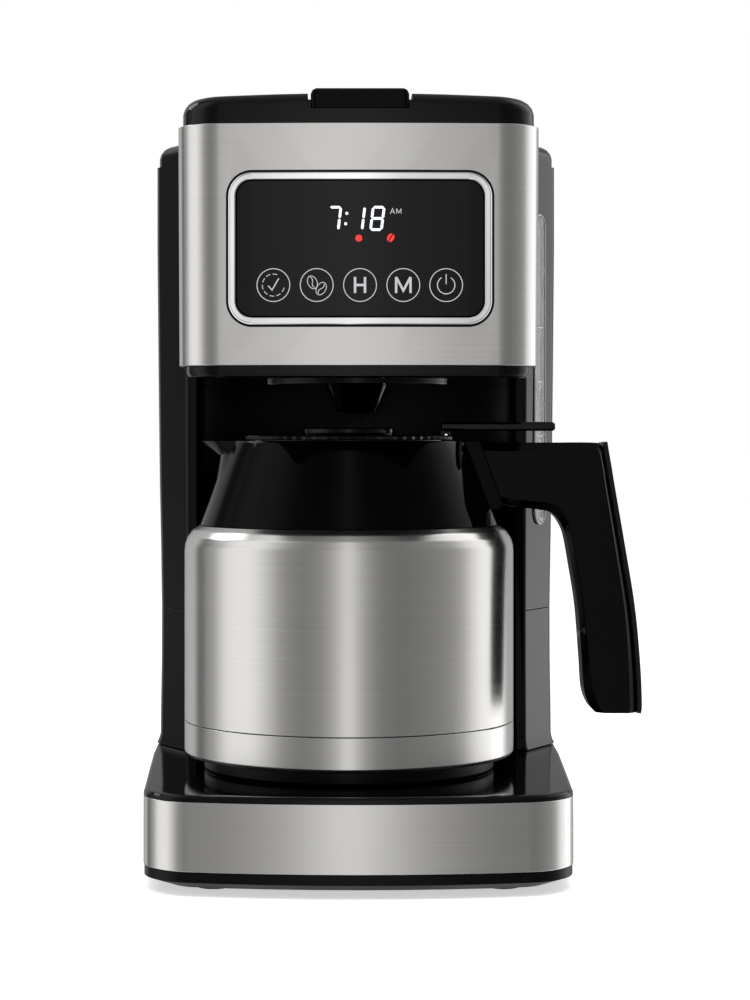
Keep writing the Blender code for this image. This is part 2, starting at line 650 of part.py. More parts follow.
def build_tower(root):
    add("tower_lower_shell", root, BLACK_GLOSS, tower_shell(LOWER_LEVELS), (0, TOWER_BACK, DECK_TOP + GAP))
    upper = add("tower_upper_shell", root, BLACK_GLOSS, tower_shell(UPPER_LEVELS), (0, TOWER_BACK, TOWER_SEAM))
    combine(upper, "window_slot", "DIFFERENCE", window_slab(0.0, 6.0, -6.0))
    add("level_window", root, CLEAR, window_slab(GAP, 0.3, -2.4),
        (*WINDOW_MIDDLE, (WINDOW_BOTTOM + WINDOW_TOP) / 2))

    wall = [at_height(bay_curve(0.0) + bay_curve(BAY_WALL)[::-1], z) for z in (DECK_TOP + GAP, BAY_TOP)]
    add("bay_wall", root, BLACK_MATTE, skin(wall, STRIP), (0, BAY_CENTRE + BAY_DEPTH, DECK_TOP + GAP))

    tank = ((0.0, TANK_BOTTOM), (0.0, TANK_TOP), (TANK_WALL, TANK_TOP), (TANK_WALL, TANK_BOTTOM + TANK_FLOOR))
    vessel = add("water_tank", root, CLEAR,
                 skin([at_height(tank_outline(inset), z) for inset, z in tank], FLAT), (0, FEED_Y, TANK_BOTTOM))
    combine(vessel, "outlet", "DIFFERENCE", cylinder((FEED_X, FEED_Y), 4.0, 120.0, 130.0, 16))


def build_head(root):
    shell = ((6.4, 234.5), (6.0, 236.2), (3.9, 239.5), (3.9, FASCIA_TOP), (1.75, FASCIA_TOP), (1.75, 237.0),
             (3.9, 237.0), (3.9, 234.2), (4.7, 232.6), (6.4, HEAD_BOTTOM))
    bucket = add("head_shell", root, BLACK_GLOSS,
                 skin([at_height(bucket_outline(inset), z) for inset, z in shell], MIRRORED),
                 (0, 0, HEAD_BOTTOM))
    half = (BEZEL_HALF[0] + GAP, BEZEL_HALF[1] + GAP)
    hole = rounded_rectangle(BEZEL_MIDDLE, half, BEZEL_CORNER + GAP)
    opening = [[(x, y, z) for x, z in hole] for y in (-110.0, -80.0)]
    combine(bucket, "ports", "DIFFERENCE", joined(
        skin(opening, FLAT), cylinder((0.0, 0.0), PORT_RADIUS, 225.0, 238.0, 48), box(*SPOUT_NOTCH)))

    half = head_side_half()
    path = [(-x, y) for x, y in reversed(half[1:])] + half
    levels = ((FASCIA_BOTTOM, FASCIA_TAPER), (FASCIA_TOP, 0.0))
    sides = [strip_ring(offset(path, taper, closed=False), FASCIA_THICK, z) for z, taper in levels]
    fascia = add("head_fascia", root, STEEL, skin(sides, STRIP), (0, HEAD_FRONT, FASCIA_BOTTOM))
    combine(fascia, "display_opening", "DIFFERENCE", skin(opening, FLAT))

    bezel = ((0.0, 4.0), (0.0, -0.3), (0.7, -1.0), (3.0, -0.9), (3.7, 0.2), (3.7, 4.0))
    add("display_bezel", root, CHROME, skin([bezel_ring(inset, depth) for inset, depth in bezel], LOOP),
        (BEZEL_MIDDLE[0], HEAD_FRONT, BEZEL_MIDDLE[1]))
    glass = [bezel_ring(4.0, depth) for depth in (-0.1, 1.9)]
    add("display_glass", root, DARK_GLASS, skin(glass, MIRRORED),
        (BEZEL_MIDDLE[0], HEAD_FRONT, BEZEL_MIDDLE[1]))
    add("led_module", root, BLACK_MATTE, box(*DISPLAY_MODULE, 0.6),
        (10.0, -87.4, 300.0))
    add("control_board", root, BOARD_GREEN, box(*CONTROL_BOARD, 0.4),
        (0.5, -85.5, 289.0))


def bezel_ring(inset, depth):
    """Ring of the display frame, bent to follow the bow of the head."""
    half = (BEZEL_HALF[0] - inset, BEZEL_HALF[1] - inset)
    ring = rounded_rectangle(BEZEL_MIDDLE, half, BEZEL_CORNER - inset)
    return [(x, head_front_y(x) + depth, z) for x, z in ring]


def cover_body():
    """The lid and rear cap before they are parted: a skirt, a rounded edge and a crowned top."""
    rings = [at_height(cover_outline(inset), z) for inset, z in reversed(COVER_INSIDE)]
    rings += [cover_foot(COVER_INSIDE[0][0]), cover_foot(0.0)]
    rings += [at_height(cover_outline(inset), z) for inset, z in COVER_EDGE]
    points, faces = skin(rings, MIRRORED)
    count = len(rings[0])
    top = len(points) - count
    faces = [face for face in faces if min(face) < top]
    columns = [[top + step for step in range(count // 2 + 1)]]
    for column in range(1, COVER_COLUMNS):
        share = 1 - 2 * column / COVER_COLUMNS
        line = [top]
        for step in range(1, count // 2):
            x, y, z = points[top + step]
            line.append(len(points))
            points.append((x * share, y, z))
        line.append(top + count // 2)
        columns.append(line)
    columns.append([top] + [top + count - step for step in range(1, count // 2)] + [top + count // 2])
    for left, right in zip(columns[:-1], columns[1:], strict=True):
        for step in range(count // 2):
            face = dict.fromkeys((left[step], left[step + 1], right[step + 1], right[step]))
            faces.append(tuple(face))
    edge = (len(COVER_INSIDE) + 2) * count
    return points[:edge] + [crowned(*point) for point in points[edge:]], faces


def crowned(x, y, z):
    """A point of the cover's top edge or top, raised towards the middle."""
    return x, y, z + COVER_CROWN * max(0.0, 1 - (x / COVER_CROWN_HALF) ** 2)


def on_hinge(radius, x_range):
    spans = (x_range, (-x_range[1], -x_range[0]))
    return joined(*[cylinder_along_x((HINGE_Y, HINGE_Z), radius, low, high) for low, high in spans])


def build_cover(root, lid):
    far = 200.0
    top = add("lid", lid, BLACK_GLOSS, cover_body(), (0, HINGE_Y, HINGE_Z))
    combine(top, "rear_cut", "DIFFERENCE", box((-far, far), (LID_REAR, far), (300.0, 400.0)))
    combine(top, "tab_seat", "UNION",
            box((TAB_MIDDLE - 26.0, TAB_MIDDLE + 26.0), (-92.5, TAB_BACK + 3.0), (350.2, 356.0)))
    notch_half = TAB_HALF + NOTCH_SIDE_GAP
    combine(top, "tab_notch", "DIFFERENCE",
            box((TAB_MIDDLE - notch_half, TAB_MIDDLE + notch_half), (-110.0, TAB_BACK + GAP),
                (TAB_BOTTOM - GAP, 370.0)))
    combine(top, "lugs", "UNION", on_hinge(HINGE_RADIUS, HINGE_LUG))
    combine(top, "knuckle_room", "DIFFERENCE",
            on_hinge(HINGE_RADIUS + 0.4, (HINGE_KNUCKLE[0] - 0.2, HINGE_KNUCKLE[1] + 0.4)))
    combine(top, "pin_hole", "DIFFERENCE", on_hinge(PIN_RADIUS + GAP, (50.0, 90.0)))

    cap_piece = add("rear_cap", root, BLACK_GLOSS, cover_body(), (0, TOWER_BACK, COVER_REAR_BOTTOM))
    combine(cap_piece, "front_cut", "DIFFERENCE", box((-far, far), (-far, CAP_FRONT), (300.0, 400.0)))
    combine(cap_piece, "gutter_floor", "UNION", box(*GUTTER_FLOOR))
    combine(cap_piece, "hinge_gutter", "DIFFERENCE", box((-far, far), *HINGE_GUTTER))
    combine(cap_piece, "knuckles", "UNION", on_hinge(HINGE_RADIUS, HINGE_KNUCKLE))
    combine(cap_piece, "lug_room", "DIFFERENCE",
            on_hinge(HINGE_RADIUS + 0.4, (HINGE_LUG[0] - 0.4, HINGE_LUG[1] + 0.1)))
    combine(cap_piece, "pin_hole", "DIFFERENCE", on_hinge(PIN_RADIUS + GAP, (50.0, 79.0)))
    for name, side in (("left", -1), ("right", 1)):
        ends = sorted((side * 60.5, side * 78.5))
        add(f"hinge_pin_{name}", root, CHROME, cylinder_along_x((HINGE_Y, HINGE_Z), PIN_RADIUS, *ends),
            (side * HINGE_LUG[1], HINGE_Y, HINGE_Z))

    tab = [at_height(tab_outline(inset), z) for inset, z in
           ((0.0, TAB_BOTTOM), (0.0, 358.2), (0.8, 360.0), (2.4, TAB_TOP))]
    add("lid_tab", lid, BLACK_GLOSS, skin(tab, MIRRORED), (TAB_MIDDLE, COVER_FRONT, TAB_BOTTOM))

    liner = [at_height(liner_outline(), z) for z in (347.7, 349.4)]
    add("lid_liner", lid, BLACK_MATTE, skin(liner, MIRRORED), (0, 0, 349.4))
    add("shower_plate", lid, STEEL, revolve(SHOWER_PROFILE, FLAT), (0, 0, 347.4))


def tab_outline(inset):
    front = COVER_FRONT - 0.4
    half = round_path(((0.0, front, 0.0), (TAB_HALF, front, TAB_CORNER), (TAB_HALF, TAB_BACK, TAB_CORNER),
                       (0.0, TAB_BACK, 0.0)))
    return offset([(TAB_MIDDLE + x, y) for x, y in mirrored(half)], inset)


def liner_outline():
    half = round_path(((0.0, -90.0, 0.0), (75.0, -90.0, 14.0), (75.0, 58.0, 2.0), (80.0, 60.0, 2.0),
                       (98.0, 90.0, 10.0), (98.0, 114.5, 2.0), (0.0, 114.5, 0.0)))
    return mirrored(half)


def build_brewing(root, drip):
    add("brew_basket", root, BLACK_MATTE, revolve(BASKET_PROFILE), (0, 0, 234.8))
    add("mesh_filter", root, BRASS_MESH, revolve(FILTER_PROFILE, FLAT), (0, 0, 320.8))
    add("drip_stop", drip, BLACK_MATTE, revolve(DRIP_PROFILE, FLAT, segments=24), (0, 0, 216.8))
    add("drip_seal", drip, SILICONE, revolve(SEAL_PROFILE, segments=24), (0, 0, 233.3))
    low, high = SPRING_ENDS
    coil = []
    steps = SPRING_TURNS * SPRING_STATIONS
    for step in range(steps + 1):
        turn = 2 * math.pi * step / SPRING_STATIONS
        rise = low + SPRING_WIRE + (high - low - 2 * SPRING_WIRE) * step / steps
        coil.append((SPRING_RADIUS * math.cos(turn), SPRING_RADIUS * math.sin(turn), rise))
    add("drip_spring", root, STEEL, pipe(coil, SPRING_WIRE, 0.0, 5), (0, 0, high))


def collar_ring(radius, z, reach):
    """Ring of the collar. The reach pulls it out to a V at the spout."""
    ring = []
    for step in range(CARAFE_SEGMENTS):
        angle = 360.0 * step / CARAFE_SEGMENTS
        share = max(0.0, 1 - abs(angle - 180.0) / SPOUT_HALF_ANGLE)
        far = radius + reach * share
        turn = math.radians(angle)
        ring.append((CARAFE_X + far * math.cos(turn), far * math.sin(turn), z))
    return ring


def handle_ring(outer, inner, half, chamfer):
    """Eight-sided section of the handle between its outer and inner edge."""
    across = Vector((outer[0] - inner[0], outer[1] - inner[1])).normalized() * chamfer
    low = (inner[0] + across.x, inner[1] + across.y)
    high = (outer[0] - across.x, outer[1] - across.y)
    narrow = half - chamfer
    return [(inner[0], -narrow, inner[1]), (low[0], -half, low[1]), (high[0], -half, high[1]),
            (outer[0], -narrow, outer[1]), (outer[0], narrow, outer[1]), (high[0], half, high[1]),
            (low[0], half, low[1]), (inner[0], narrow, inner[1])]


def handle_strip_rings():
    """Sections of the strip that covers the outer edge of the handle."""
    path = (STRIP_TOP, *HANDLE_OUTER[STRIP_START:])
    near = offset(path, GAP, closed=False)
    far = offset(path, STRIP_THICK, closed=False)
    rings = []
    for inner, outer in zip(near, far, strict=True):
        rings.append([(inner[0], -STRIP_HALF, inner[1]), (outer[0], 1.8 - STRIP_HALF, outer[1]),
                      (outer[0], STRIP_HALF - 1.8, outer[1]), (inner[0], STRIP_HALF, inner[1])])
    return rings


def build_carafe(carafe):
    around = {"centre": (CARAFE_X, 0.0), "segments": CARAFE_SEGMENTS}
    hidden = {"centre": (CARAFE_X, 0.0), "segments": HIDDEN_SEGMENTS}
    add("carafe_shell", carafe, STEEL, revolve(SHELL_PROFILE, **around), (CARAFE_X, 0, 69.5))
    add("carafe_band", carafe, STEEL, revolve(BAND_PROFILE, **around), (CARAFE_X, 0, 53.0))
    add("carafe_liner", carafe, STEEL, revolve(LINER_PROFILE, FLAT, **hidden), (CARAFE_X, 0, 57.0))
    add("carafe_stand", carafe, BLACK_MATTE, revolve(STAND_PROFILE, FLAT, **hidden), (CARAFE_X, 0, 45.8))
    collar = add("carafe_collar", carafe, BLACK_MATTE,
                 skin([collar_ring(*level) for level in COLLAR_OUTER + COLLAR_INNER], LOOP),
                 (CARAFE_X, 0, COLLAR_OUTER[0][1]))
    combine(collar, "handle_boss", "UNION", prism_along_y(BOSS_OUTLINE, BOSS_HALF))
    screw_line = (0.0, HANDLE_SCREW_Z)
    combine(collar, "screw_hole", "DIFFERENCE",
            cylinder_along_x(screw_line, SCREW_SHANK_RADIUS + GAP, 59.0, 75.0))

    rings = [handle_ring(outer, inner, HANDLE_HALF, HANDLE_CHAMFER)
             for outer, inner in zip(HANDLE_OUTER, HANDLE_INNER, strict=True)]
    handle = add("carafe_handle", carafe, BLACK_MATTE, skin(rings, FLAT), (64.0, 0, 188.0))
    combine(handle, "screw_hole", "DIFFERENCE",
            cylinder_along_x(screw_line, SCREW_SHANK_RADIUS + GAP, 50.0, 78.0))
    add("handle_strip", carafe, BLACK_GLOSS, skin(handle_strip_rings(), FLAT), (126.0, 0, 155.0))
    add("handle_screw", carafe, CHROME, cylinder_along_x(screw_line, SCREW_SHANK_RADIUS, 59.6, 77.0),
        (64.0, 0, HANDLE_SCREW_Z))


def lid_top_ring(radius, z):
    """Ring of the carafe lid's top, toothed where it is widest."""
    toothed = radius >= 49.5
    ring = []
    for step in range(2 * LID_TEETH):
        turn = math.pi * step / LID_TEETH
        far = radius - (TOOTH_DEPTH if toothed and step % 2 else 0.0)
        ring.append((CARAFE_X + far * math.cos(turn), far * math.sin(turn), z))
    return ring


def build_carafe_lid(lid, lever):
    around = {"centre": (CARAFE_X, 0.0), "segments": HIDDEN_SEGMENTS}
    base = add("carafe_lid_base", lid, BLACK_MATTE, revolve(CUP_PROFILE, FLAT, **around),
               (CARAFE_X, 0, CUP_PROFILE[0][1]))
    combine(base, "pour_holes", "DIFFERENCE", joined(
        cylinder((VALVE_X, 0.0), POUR_HOLE_RADIUS, 180.0, 192.0, 20),
        cylinder((CARAFE_X, 0.0), POUR_HOLE_RADIUS, 180.0, 192.0, 20)))
    add("lid_gasket", lid, SILICONE, revolve(GASKET_PROFILE, **around), (CARAFE_X, 0, 191.5))
    top = add("carafe_lid_top", lid, BLACK_MATTE,
              skin([lid_top_ring(*level) for level in LID_TOP_LEVELS], LOOP), (CARAFE_X, 0, 206.0))
    ears = [box(EAR_X, (side * EAR_CENTRE - EAR_HALF, side * EAR_CENTRE + EAR_HALF), (205.0, EAR_TOP))
            for side in (-1, 1)]
    combine(top, "ears", "UNION", joined(*ears))
    slot_x, slot_half = LEVER_SLOT
    combine(top, "lever_slot", "DIFFERENCE", box(slot_x, (-slot_half, slot_half), (195.0, 220.0)))
    combine(top, "pin_hole", "DIFFERENCE",
            turned_along_y(LEVER_AXIS, LEVER_PIN_HOLE, segments=12))

    bar = box(LEVER_BAR[0], (-LEVER_HALF, LEVER_HALF), LEVER_BAR[1], 1.0)
    arm = add("lid_lever", lever, BLACK_GLOSS, bar, (LEVER_AXIS[0], 0, LEVER_AXIS[1]))
    combine(arm, "root", "UNION", prism_along_y(LEVER_ROOT, LEVER_ROOT_HALF))
    combine(arm, "pin_hole", "DIFFERENCE",
            turned_along_y(LEVER_AXIS, LEVER_PIN_HOLE, segments=12))
    add("lever_pin", lid, CHROME,
        turned_along_y(LEVER_AXIS, ((LEVER_PIN_RADIUS, -7.4), (LEVER_PIN_RADIUS, 7.4)), segments=12),
        (LEVER_AXIS[0], 0, LEVER_AXIS[1]))
    add("pour_valve", lever, SILICONE, revolve(VALVE_PROFILE, FLAT, (VALVE_X, 0.0), 24),
        (VALVE_X, 0, VALVE_PROFILE[0][1]))


def build_water_path(root):
    horseshoe = [(HEATER_RADIUS, HEATER_LEG, HEATER_Z)]
    for step in range(13):
        angle = -math.pi * step / 12
        bend_y = HEATER_MIDDLE_Y + HEATER_RADIUS * math.sin(angle)
        horseshoe.append((HEATER_RADIUS * math.cos(angle), bend_y, HEATER_Z))
    horseshoe.append((-HEATER_RADIUS, HEATER_LEG, HEATER_Z))
    add("heater_tube", root, ALUMINIUM, pipe(horseshoe, *HEATER_TUBE), (0, HEATER_MIDDLE_Y, HEATER_Z))
    front = HEATER_MIDDLE_Y - HEATER_RADIUS
    add("heater_bracket", root, STEEL,
        skin([[(x, y, z) for x, z in BRACKET_PROFILE] for y in (front - BRACKET_HALF, front + BRACKET_HALF)],
             FLAT), (0, front, BRACKET_PROFILE[0][1]))
    add("thermostat", root, BLACK_MATTE,
        revolve(THERMOSTAT_PROFILE, FLAT, (0.0, front), 24), (0, front, THERMOSTAT_PROFILE[0][1]))
    add("thermal_fuse", root, CHROME,
        turned_along_y((HEATER_RADIUS, FUSE_Z), FUSE_PROFILE, segments=12), (HEATER_RADIUS, 45.0, FUSE_Z))

    low, high = CHECK_VALVE_Z
    add("tank_hose", root, SILICONE,
        pipe(((FEED_X, FEED_Y, TANK_BOTTOM - GAP), (FEED_X, FEED_Y, high + GAP)), *HOSE_TUBE),
        (FEED_X, FEED_Y, high))
    valve = ((3.0, low), (5.5, low), (8.5, low + 4.0), (8.5, high - 4.0), (5.5, high), (3.0, high))
    add("check_valve", root, BLACK_MATTE, revolve(valve, LOOP, (FEED_X, FEED_Y), 20), (FEED_X, FEED_Y, low))
    feed = ((FEED_X, FEED_Y, low - GAP), (FEED_X, FEED_Y, 45.0), (FEED_X - 1.0, FEED_Y - 4.0, 33.0),
            (FEED_X - 5.0, FEED_Y - 14.0, 27.0), (HEATER_RADIUS, FEED_Y - 30.0, HEATER_Z),
            (HEATER_RADIUS, HEATER_LEG + GAP, HEATER_Z))
    add("feed_hose", root, SILICONE, pipe(feed, *HOSE_TUBE), (FEED_X, FEED_Y, low))
    riser = ((-HEATER_RADIUS, HEATER_LEG + GAP, HEATER_Z), (-HEATER_RADIUS, HEATER_LEG + 12.0, HEATER_Z),
             (-58.0, 99.0, HEATER_Z + 2.0), (-80.0, 109.0, 32.0),
             (RISER_X, RISER_Y, 46.0), (RISER_X, RISER_Y, 120.0),
             (RISER_X, RISER_Y, 330.0), (RISER_X + 1.0, RISER_Y - 1.5, 337.0), (-82.0, 105.0, 341.8),
             (-60.0, 84.0, 342.0), (-40.0, 66.0, 341.6), (-33.0, 58.0, 341.0))
    add("riser_tube", root, SILICONE, pipe(riser, *HOSE_TUBE), (RISER_X, RISER_Y, 46.0))

    add("power_board", root, BOARD_GREEN, box(*POWER_BOARD, 0.4), (-10, 135.6, 50))
    add("cord_gland", root, RUBBER, turned_along_y((GLAND_X, GLAND_Z), GLAND_PROFILE, LOOP),
        (GLAND_X, TOWER_BACK, GLAND_Z))


def main():
    clear_scene()
    root = add_body("coffee_maker", None, (0.0, 0.0, 0.0))
    lid = add_body("lid_body", root, (0.0, HINGE_Y, HINGE_Z))
    drip = add_body("drip_stop_body", root, (0.0, 0.0, 216.8))
    carafe = add_body("carafe_body", root, (CARAFE_X, 0.0, 45.8))
    carafe_lid = add_body("carafe_lid_body", carafe, (CARAFE_X, 0.0, 203.5))
    lever = add_body("lever_body", carafe_lid, (LEVER_AXIS[0], 0.0, LEVER_AXIS[1]))
    build_base(root)
    build_tower(root)
    build_head(root)
    build_cover(root, lid)
    build_brewing(root, drip)
    build_carafe(carafe)
    build_carafe_lid(carafe_lid, lever)
    build_water_path(root)
    root.location = Vector(ROOT_SHIFT) * MM


main()
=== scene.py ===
import math

import bmesh
import bpy
from mathutils import Matrix, Vector


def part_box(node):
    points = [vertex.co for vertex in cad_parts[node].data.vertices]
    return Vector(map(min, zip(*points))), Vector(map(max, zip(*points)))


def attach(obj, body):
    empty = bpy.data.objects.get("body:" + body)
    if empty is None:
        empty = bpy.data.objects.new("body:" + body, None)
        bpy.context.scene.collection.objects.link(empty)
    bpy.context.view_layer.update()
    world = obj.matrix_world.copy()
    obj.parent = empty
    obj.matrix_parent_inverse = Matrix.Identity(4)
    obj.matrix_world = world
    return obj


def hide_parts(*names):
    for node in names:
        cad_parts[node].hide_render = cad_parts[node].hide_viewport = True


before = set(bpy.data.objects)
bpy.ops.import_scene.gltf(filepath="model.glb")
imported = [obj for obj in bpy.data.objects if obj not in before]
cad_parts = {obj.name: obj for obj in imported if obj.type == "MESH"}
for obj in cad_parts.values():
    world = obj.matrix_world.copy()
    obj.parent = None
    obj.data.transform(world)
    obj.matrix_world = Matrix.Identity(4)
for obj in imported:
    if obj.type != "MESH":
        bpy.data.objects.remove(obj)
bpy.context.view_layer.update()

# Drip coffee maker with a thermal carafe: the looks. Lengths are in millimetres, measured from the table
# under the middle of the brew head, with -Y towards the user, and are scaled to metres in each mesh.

MM = 0.001
GAP = 0.3
ARC_STEP = 6.0
SHARP_ANGLE = 28.0
EDGE_ANGLE = 35.0
EDGE_ROUND = 0.25
SMOOTH_STEPS = 8

# Base
FOOT_HEIGHT = 2.0
PLATE_TOP = 10.8
BAND_BOTTOM = 11.1
BAND_TOP = 42.3
BAND_THICK = 0.9
DECK_TOP = 45.5
DECK_UNDERSIDE = 43.0
BASE_FRONT = -100.0
BASE_BOW_RADIUS = 400.0
BASE_BOW_STATIONS = (0.0, 20.0, 40.0, 60.0)
BASE_REST = ((97.6, -88.8, 27.0), (98.4, -60.0, 0.0), (100.5, -12.0, 0.0), (103.5, 60.0, 0.0),
             (104.9, 150.0, 20.0), (0.0, 150.0, 0.0))
FEET = ((66.0, -66.0), (80.0, 126.0))
FOOT_RADIUS = 9.0
SCREWS = ((82.0, -30.0), (84.0, 70.0))
SCREW_TOP = 22.0
POST_RADIUS = 5.0
PAD_RADIUS = 70.0
PAD_THICK = 1.2
WIRE_WELL = (92.0, 97.0, 138.0)
VENT_LENGTH = 40.0
VENT_WIDTH = 4.0
VENT_STATIONS = (40.0, 50.0, 60.0, 70.0, 80.0)
GLAND_X = -70.0
GLAND_Z = 26.0
GLAND_HOLE = ((8.3, 140.0), (8.3, 160.0))
GLAND_PROFILE = ((3.5, 142.0), (10.5, 142.0), (10.5, 145.8), (8.0, 145.8), (8.0, 149.0), (7.2, 149.8),
                 (3.5, 149.8))

# Tower
TOWER_FRONT = 58.0
TOWER_INNER = 81.5
TOWER_HALF = 104.0
TOWER_BACK = 150.0
TOWER_WALL = 2.5
LOWER_LEVELS = ((45.8, 104.2, 1.2), (47.4, 103.8, 0.5), (51.0, 103.5, 0.0), (68.0, 103.3, 0.0),
                (90.0, 102.9, 0.0), (116.8, 102.8, 0.0))
UPPER_LEVELS = ((117.1, 102.8, 0.0), (150.0, 103.3, 0.0), (183.0, 104.0, 0.0), (240.0, 104.7, 0.0),
                (303.0, 105.3, 0.0), (346.2, 105.3, 0.0))
BAY_CENTRE = 61.0
BAY_DEPTH = 25.0
BAY_HALF = 81.2
BAY_WALL = 2.0
BAY_TOP = 240.0
BAY_STEPS = 48
TANK_BOTTOM = 124.0
TANK_TOP = 333.0
TANK_WALL = 2.0
TANK_FLOOR = 2.5
WINDOW_MIDDLE = (94.6, 73.4)
WINDOW_ALONG = (0.488, 0.873)
WINDOW_HALF = 6.5
WINDOW_BOTTOM = 160.6
WINDOW_TOP = 320.3

# Brew head
HEAD_FRONT = -98.0
HEAD_BOW_RADIUS = 930.0
HEAD_BOW_STATIONS = (0.0, 19.0, 38.0, 57.0)
HEAD_HALF = 81.6
HEAD_CORNER = 20.5
HEAD_BOTTOM = 232.0
FASCIA_BOTTOM = 237.3
FASCIA_TOP = 344.9
FASCIA_THICK = 0.9
FASCIA_TAPER = 0.5
BEZEL_MIDDLE = (0.55, 289.15)
BEZEL_HALF = (58.75, 33.95)
BEZEL_CORNER = 10.7
PORT_RADIUS = 46.5
SPOUT_NOTCH = ((-62.0, -22.0), (50.0, 92.0), (331.0, 350.0))

# Top cover
COVER_FRONT = -96.0
COVER_HALF = 79.5
COVER_CORNER = 18.5
COVER_BOTTOM = 345.3
COVER_REAR_BOTTOM = 346.5
COVER_EDGE = ((0.0, 350.8), (0.8, 353.4), (2.5, 355.5), (4.8, 356.8), (7.4, 357.4))
COVER_INSIDE = ((2.4, 350.0), (4.4, 352.8), (7.4, 354.4))
COVER_CROWN = 2.0
COVER_CROWN_HALF = 80.0
COVER_BACK = 149.4
COVER_BACK_BOW = 3000.0
COVER_COLUMNS = 24
LID_REAR = 117.5
CAP_FRONT = 118.1
HINGE_Y = 118.3
HINGE_Z = 355.6
HINGE_RADIUS = 3.0
HINGE_LUG = (60.0, 70.0)
HINGE_KNUCKLE = (70.3, 80.0)
PIN_RADIUS = 1.25
HINGE_GUTTER = ((117.0, 123.4), (355.2, 400.0))
GUTTER_FLOOR = ((-59.0, 59.0), (118.1, 126.0), (352.6, 355.1))
TAB_MIDDLE = 0.5
TAB_HALF = 22.0
TAB_CORNER = 2.5
TAB_BACK = -70.0
TAB_BOTTOM = 352.0
TAB_TOP = 360.8
NOTCH_SIDE_GAP = 1.3

# Brew basket, filter and drip stop, all on the centre line of the head
BASKET_PROFILE = ((10.0, 217.6), (15.8, 230.5), (45.0, 230.5), (45.0, 234.8), (48.0, 234.8), (57.0, 300.0),
                  (58.0, 318.0), (61.0, 318.0), (61.0, 320.5), (56.0, 320.5), (55.0, 300.0), (46.0, 237.0),
                  (43.0, 233.0), (5.0, 233.0), (5.0, 229.0), (8.0, 227.0), (8.0, 217.6))
FILTER_PROFILE = ((40.0, 241.0), (52.0, 315.0), (52.4, 320.8), (59.0, 320.8), (59.0, 322.3), (51.0, 322.3),
                  (51.2, 315.0), (39.4, 241.8))
DRIP_PROFILE = ((6.0, 216.8), (7.5, 217.6), (7.5, 219.0), (2.5, 219.0), (2.5, 237.0), (1.8, 237.6))
SEAL_PROFILE = ((2.8, 233.3), (8.5, 233.3), (8.5, 235.0), (5.0, 236.2), (2.8, 236.2))
SPRING_RADIUS = 5.4
SPRING_WIRE = 0.45
SPRING_ENDS = (219.8, 226.1)
SPRING_TURNS = 4
SPRING_STATIONS = 20
SHOWER_PROFILE = ((38.0, 338.0), (40.0, 339.5), (40.0, 347.4), (38.2, 347.4), (38.2, 340.6), (37.0, 339.6))

# Carafe, about its own vertical axis
CARAFE_X = -4.0
CARAFE_AXIS = (CARAFE_X, 0.0)
CARAFE_SEGMENTS = 144
HIDDEN_SEGMENTS = 96
SHELL_PROFILE = ((79.6, 69.5), (79.6, 150.5), (79.3, 154.0), (78.0, 157.6), (75.6, 160.8), (72.0, 163.0),
                 (70.6, 163.0), (70.6, 162.2), (74.9, 160.2), (77.2, 157.2), (78.5, 153.6), (78.8, 150.5),
                 (78.8, 69.5))
BAND_PROFILE = ((79.6, 69.2), (79.6, 54.6), (78.2, 53.0), (70.6, 53.0), (70.6, 53.8), (77.8, 53.8),
                (78.8, 55.0), (78.8, 69.2))
LINER_PROFILE = ((68.0, 57.0), (74.5, 60.0), (76.0, 66.0), (76.0, 148.0), (73.6, 155.0), (66.0, 161.0),
                 (52.5, 165.5), (49.3, 169.0), (49.3, 200.0), (48.5, 200.0), (48.5, 169.4), (52.1, 164.7),
                 (65.4, 160.4), (72.9, 154.6), (75.2, 147.8), (75.2, 66.2), (73.9, 60.7), (67.8, 57.8))
STAND_PROFILE = ((59.0, 48.0), (60.0, 45.8), (69.0, 45.8), (70.0, 47.0), (70.0, 52.7), (66.0, 52.7))
COLLAR_OUTER = ((72.0, 163.3, 0.0), (68.0, 174.0, 0.0), (64.0, 185.0, 0.0), (59.5, 197.0, 3.6),
                (57.4, 202.4, 12.5), (56.6, 203.5, 16.4))
COLLAR_INNER = ((51.4, 203.5, 16.4), (50.8, 202.4, 12.8), (50.8, 197.5, 6.0), (60.5, 186.5, 0.0),
                (65.2, 174.0, 0.0), (69.0, 163.3, 0.0))
SPOUT_HALF_ANGLE = 18.0
BOSS_OUTLINE = ((50.6, 203.1), (58.6, 203.1), (69.4, 173.5), (68.0, 171.0), (62.2, 171.0))
BOSS_HALF = 13.0
HANDLE_OUTER = ((58.95, 202.8), (75.0, 202.8), (95.0, 202.8), (113.0, 202.8), (117.4, 201.6), (119.0, 196.0),
                (121.6, 180.5), (126.0, 155.0), (131.1, 123.5), (133.7, 96.0), (134.5, 77.0), (134.0, 72.8))
HANDLE_INNER = ((69.75, 173.2), (76.0, 171.7), (90.6, 170.0), (95.7, 167.0), (99.2, 161.3), (100.8, 156.0),
                (102.7, 145.4), (106.0, 124.6), (108.0, 99.8), (109.1, 84.0), (111.6, 76.5), (114.6, 72.9))
HANDLE_HALF = 13.0
HANDLE_CHAMFER = 4.0
HANDLE_SCREW_Z = 190.0
STRIP_START = 5
STRIP_TOP = (117.9, 202.8)
STRIP_THICK = 2.6
STRIP_HALF = 10.5
SCREW_HEAD_RADIUS = 3.6
SCREW_SHANK_RADIUS = 1.6

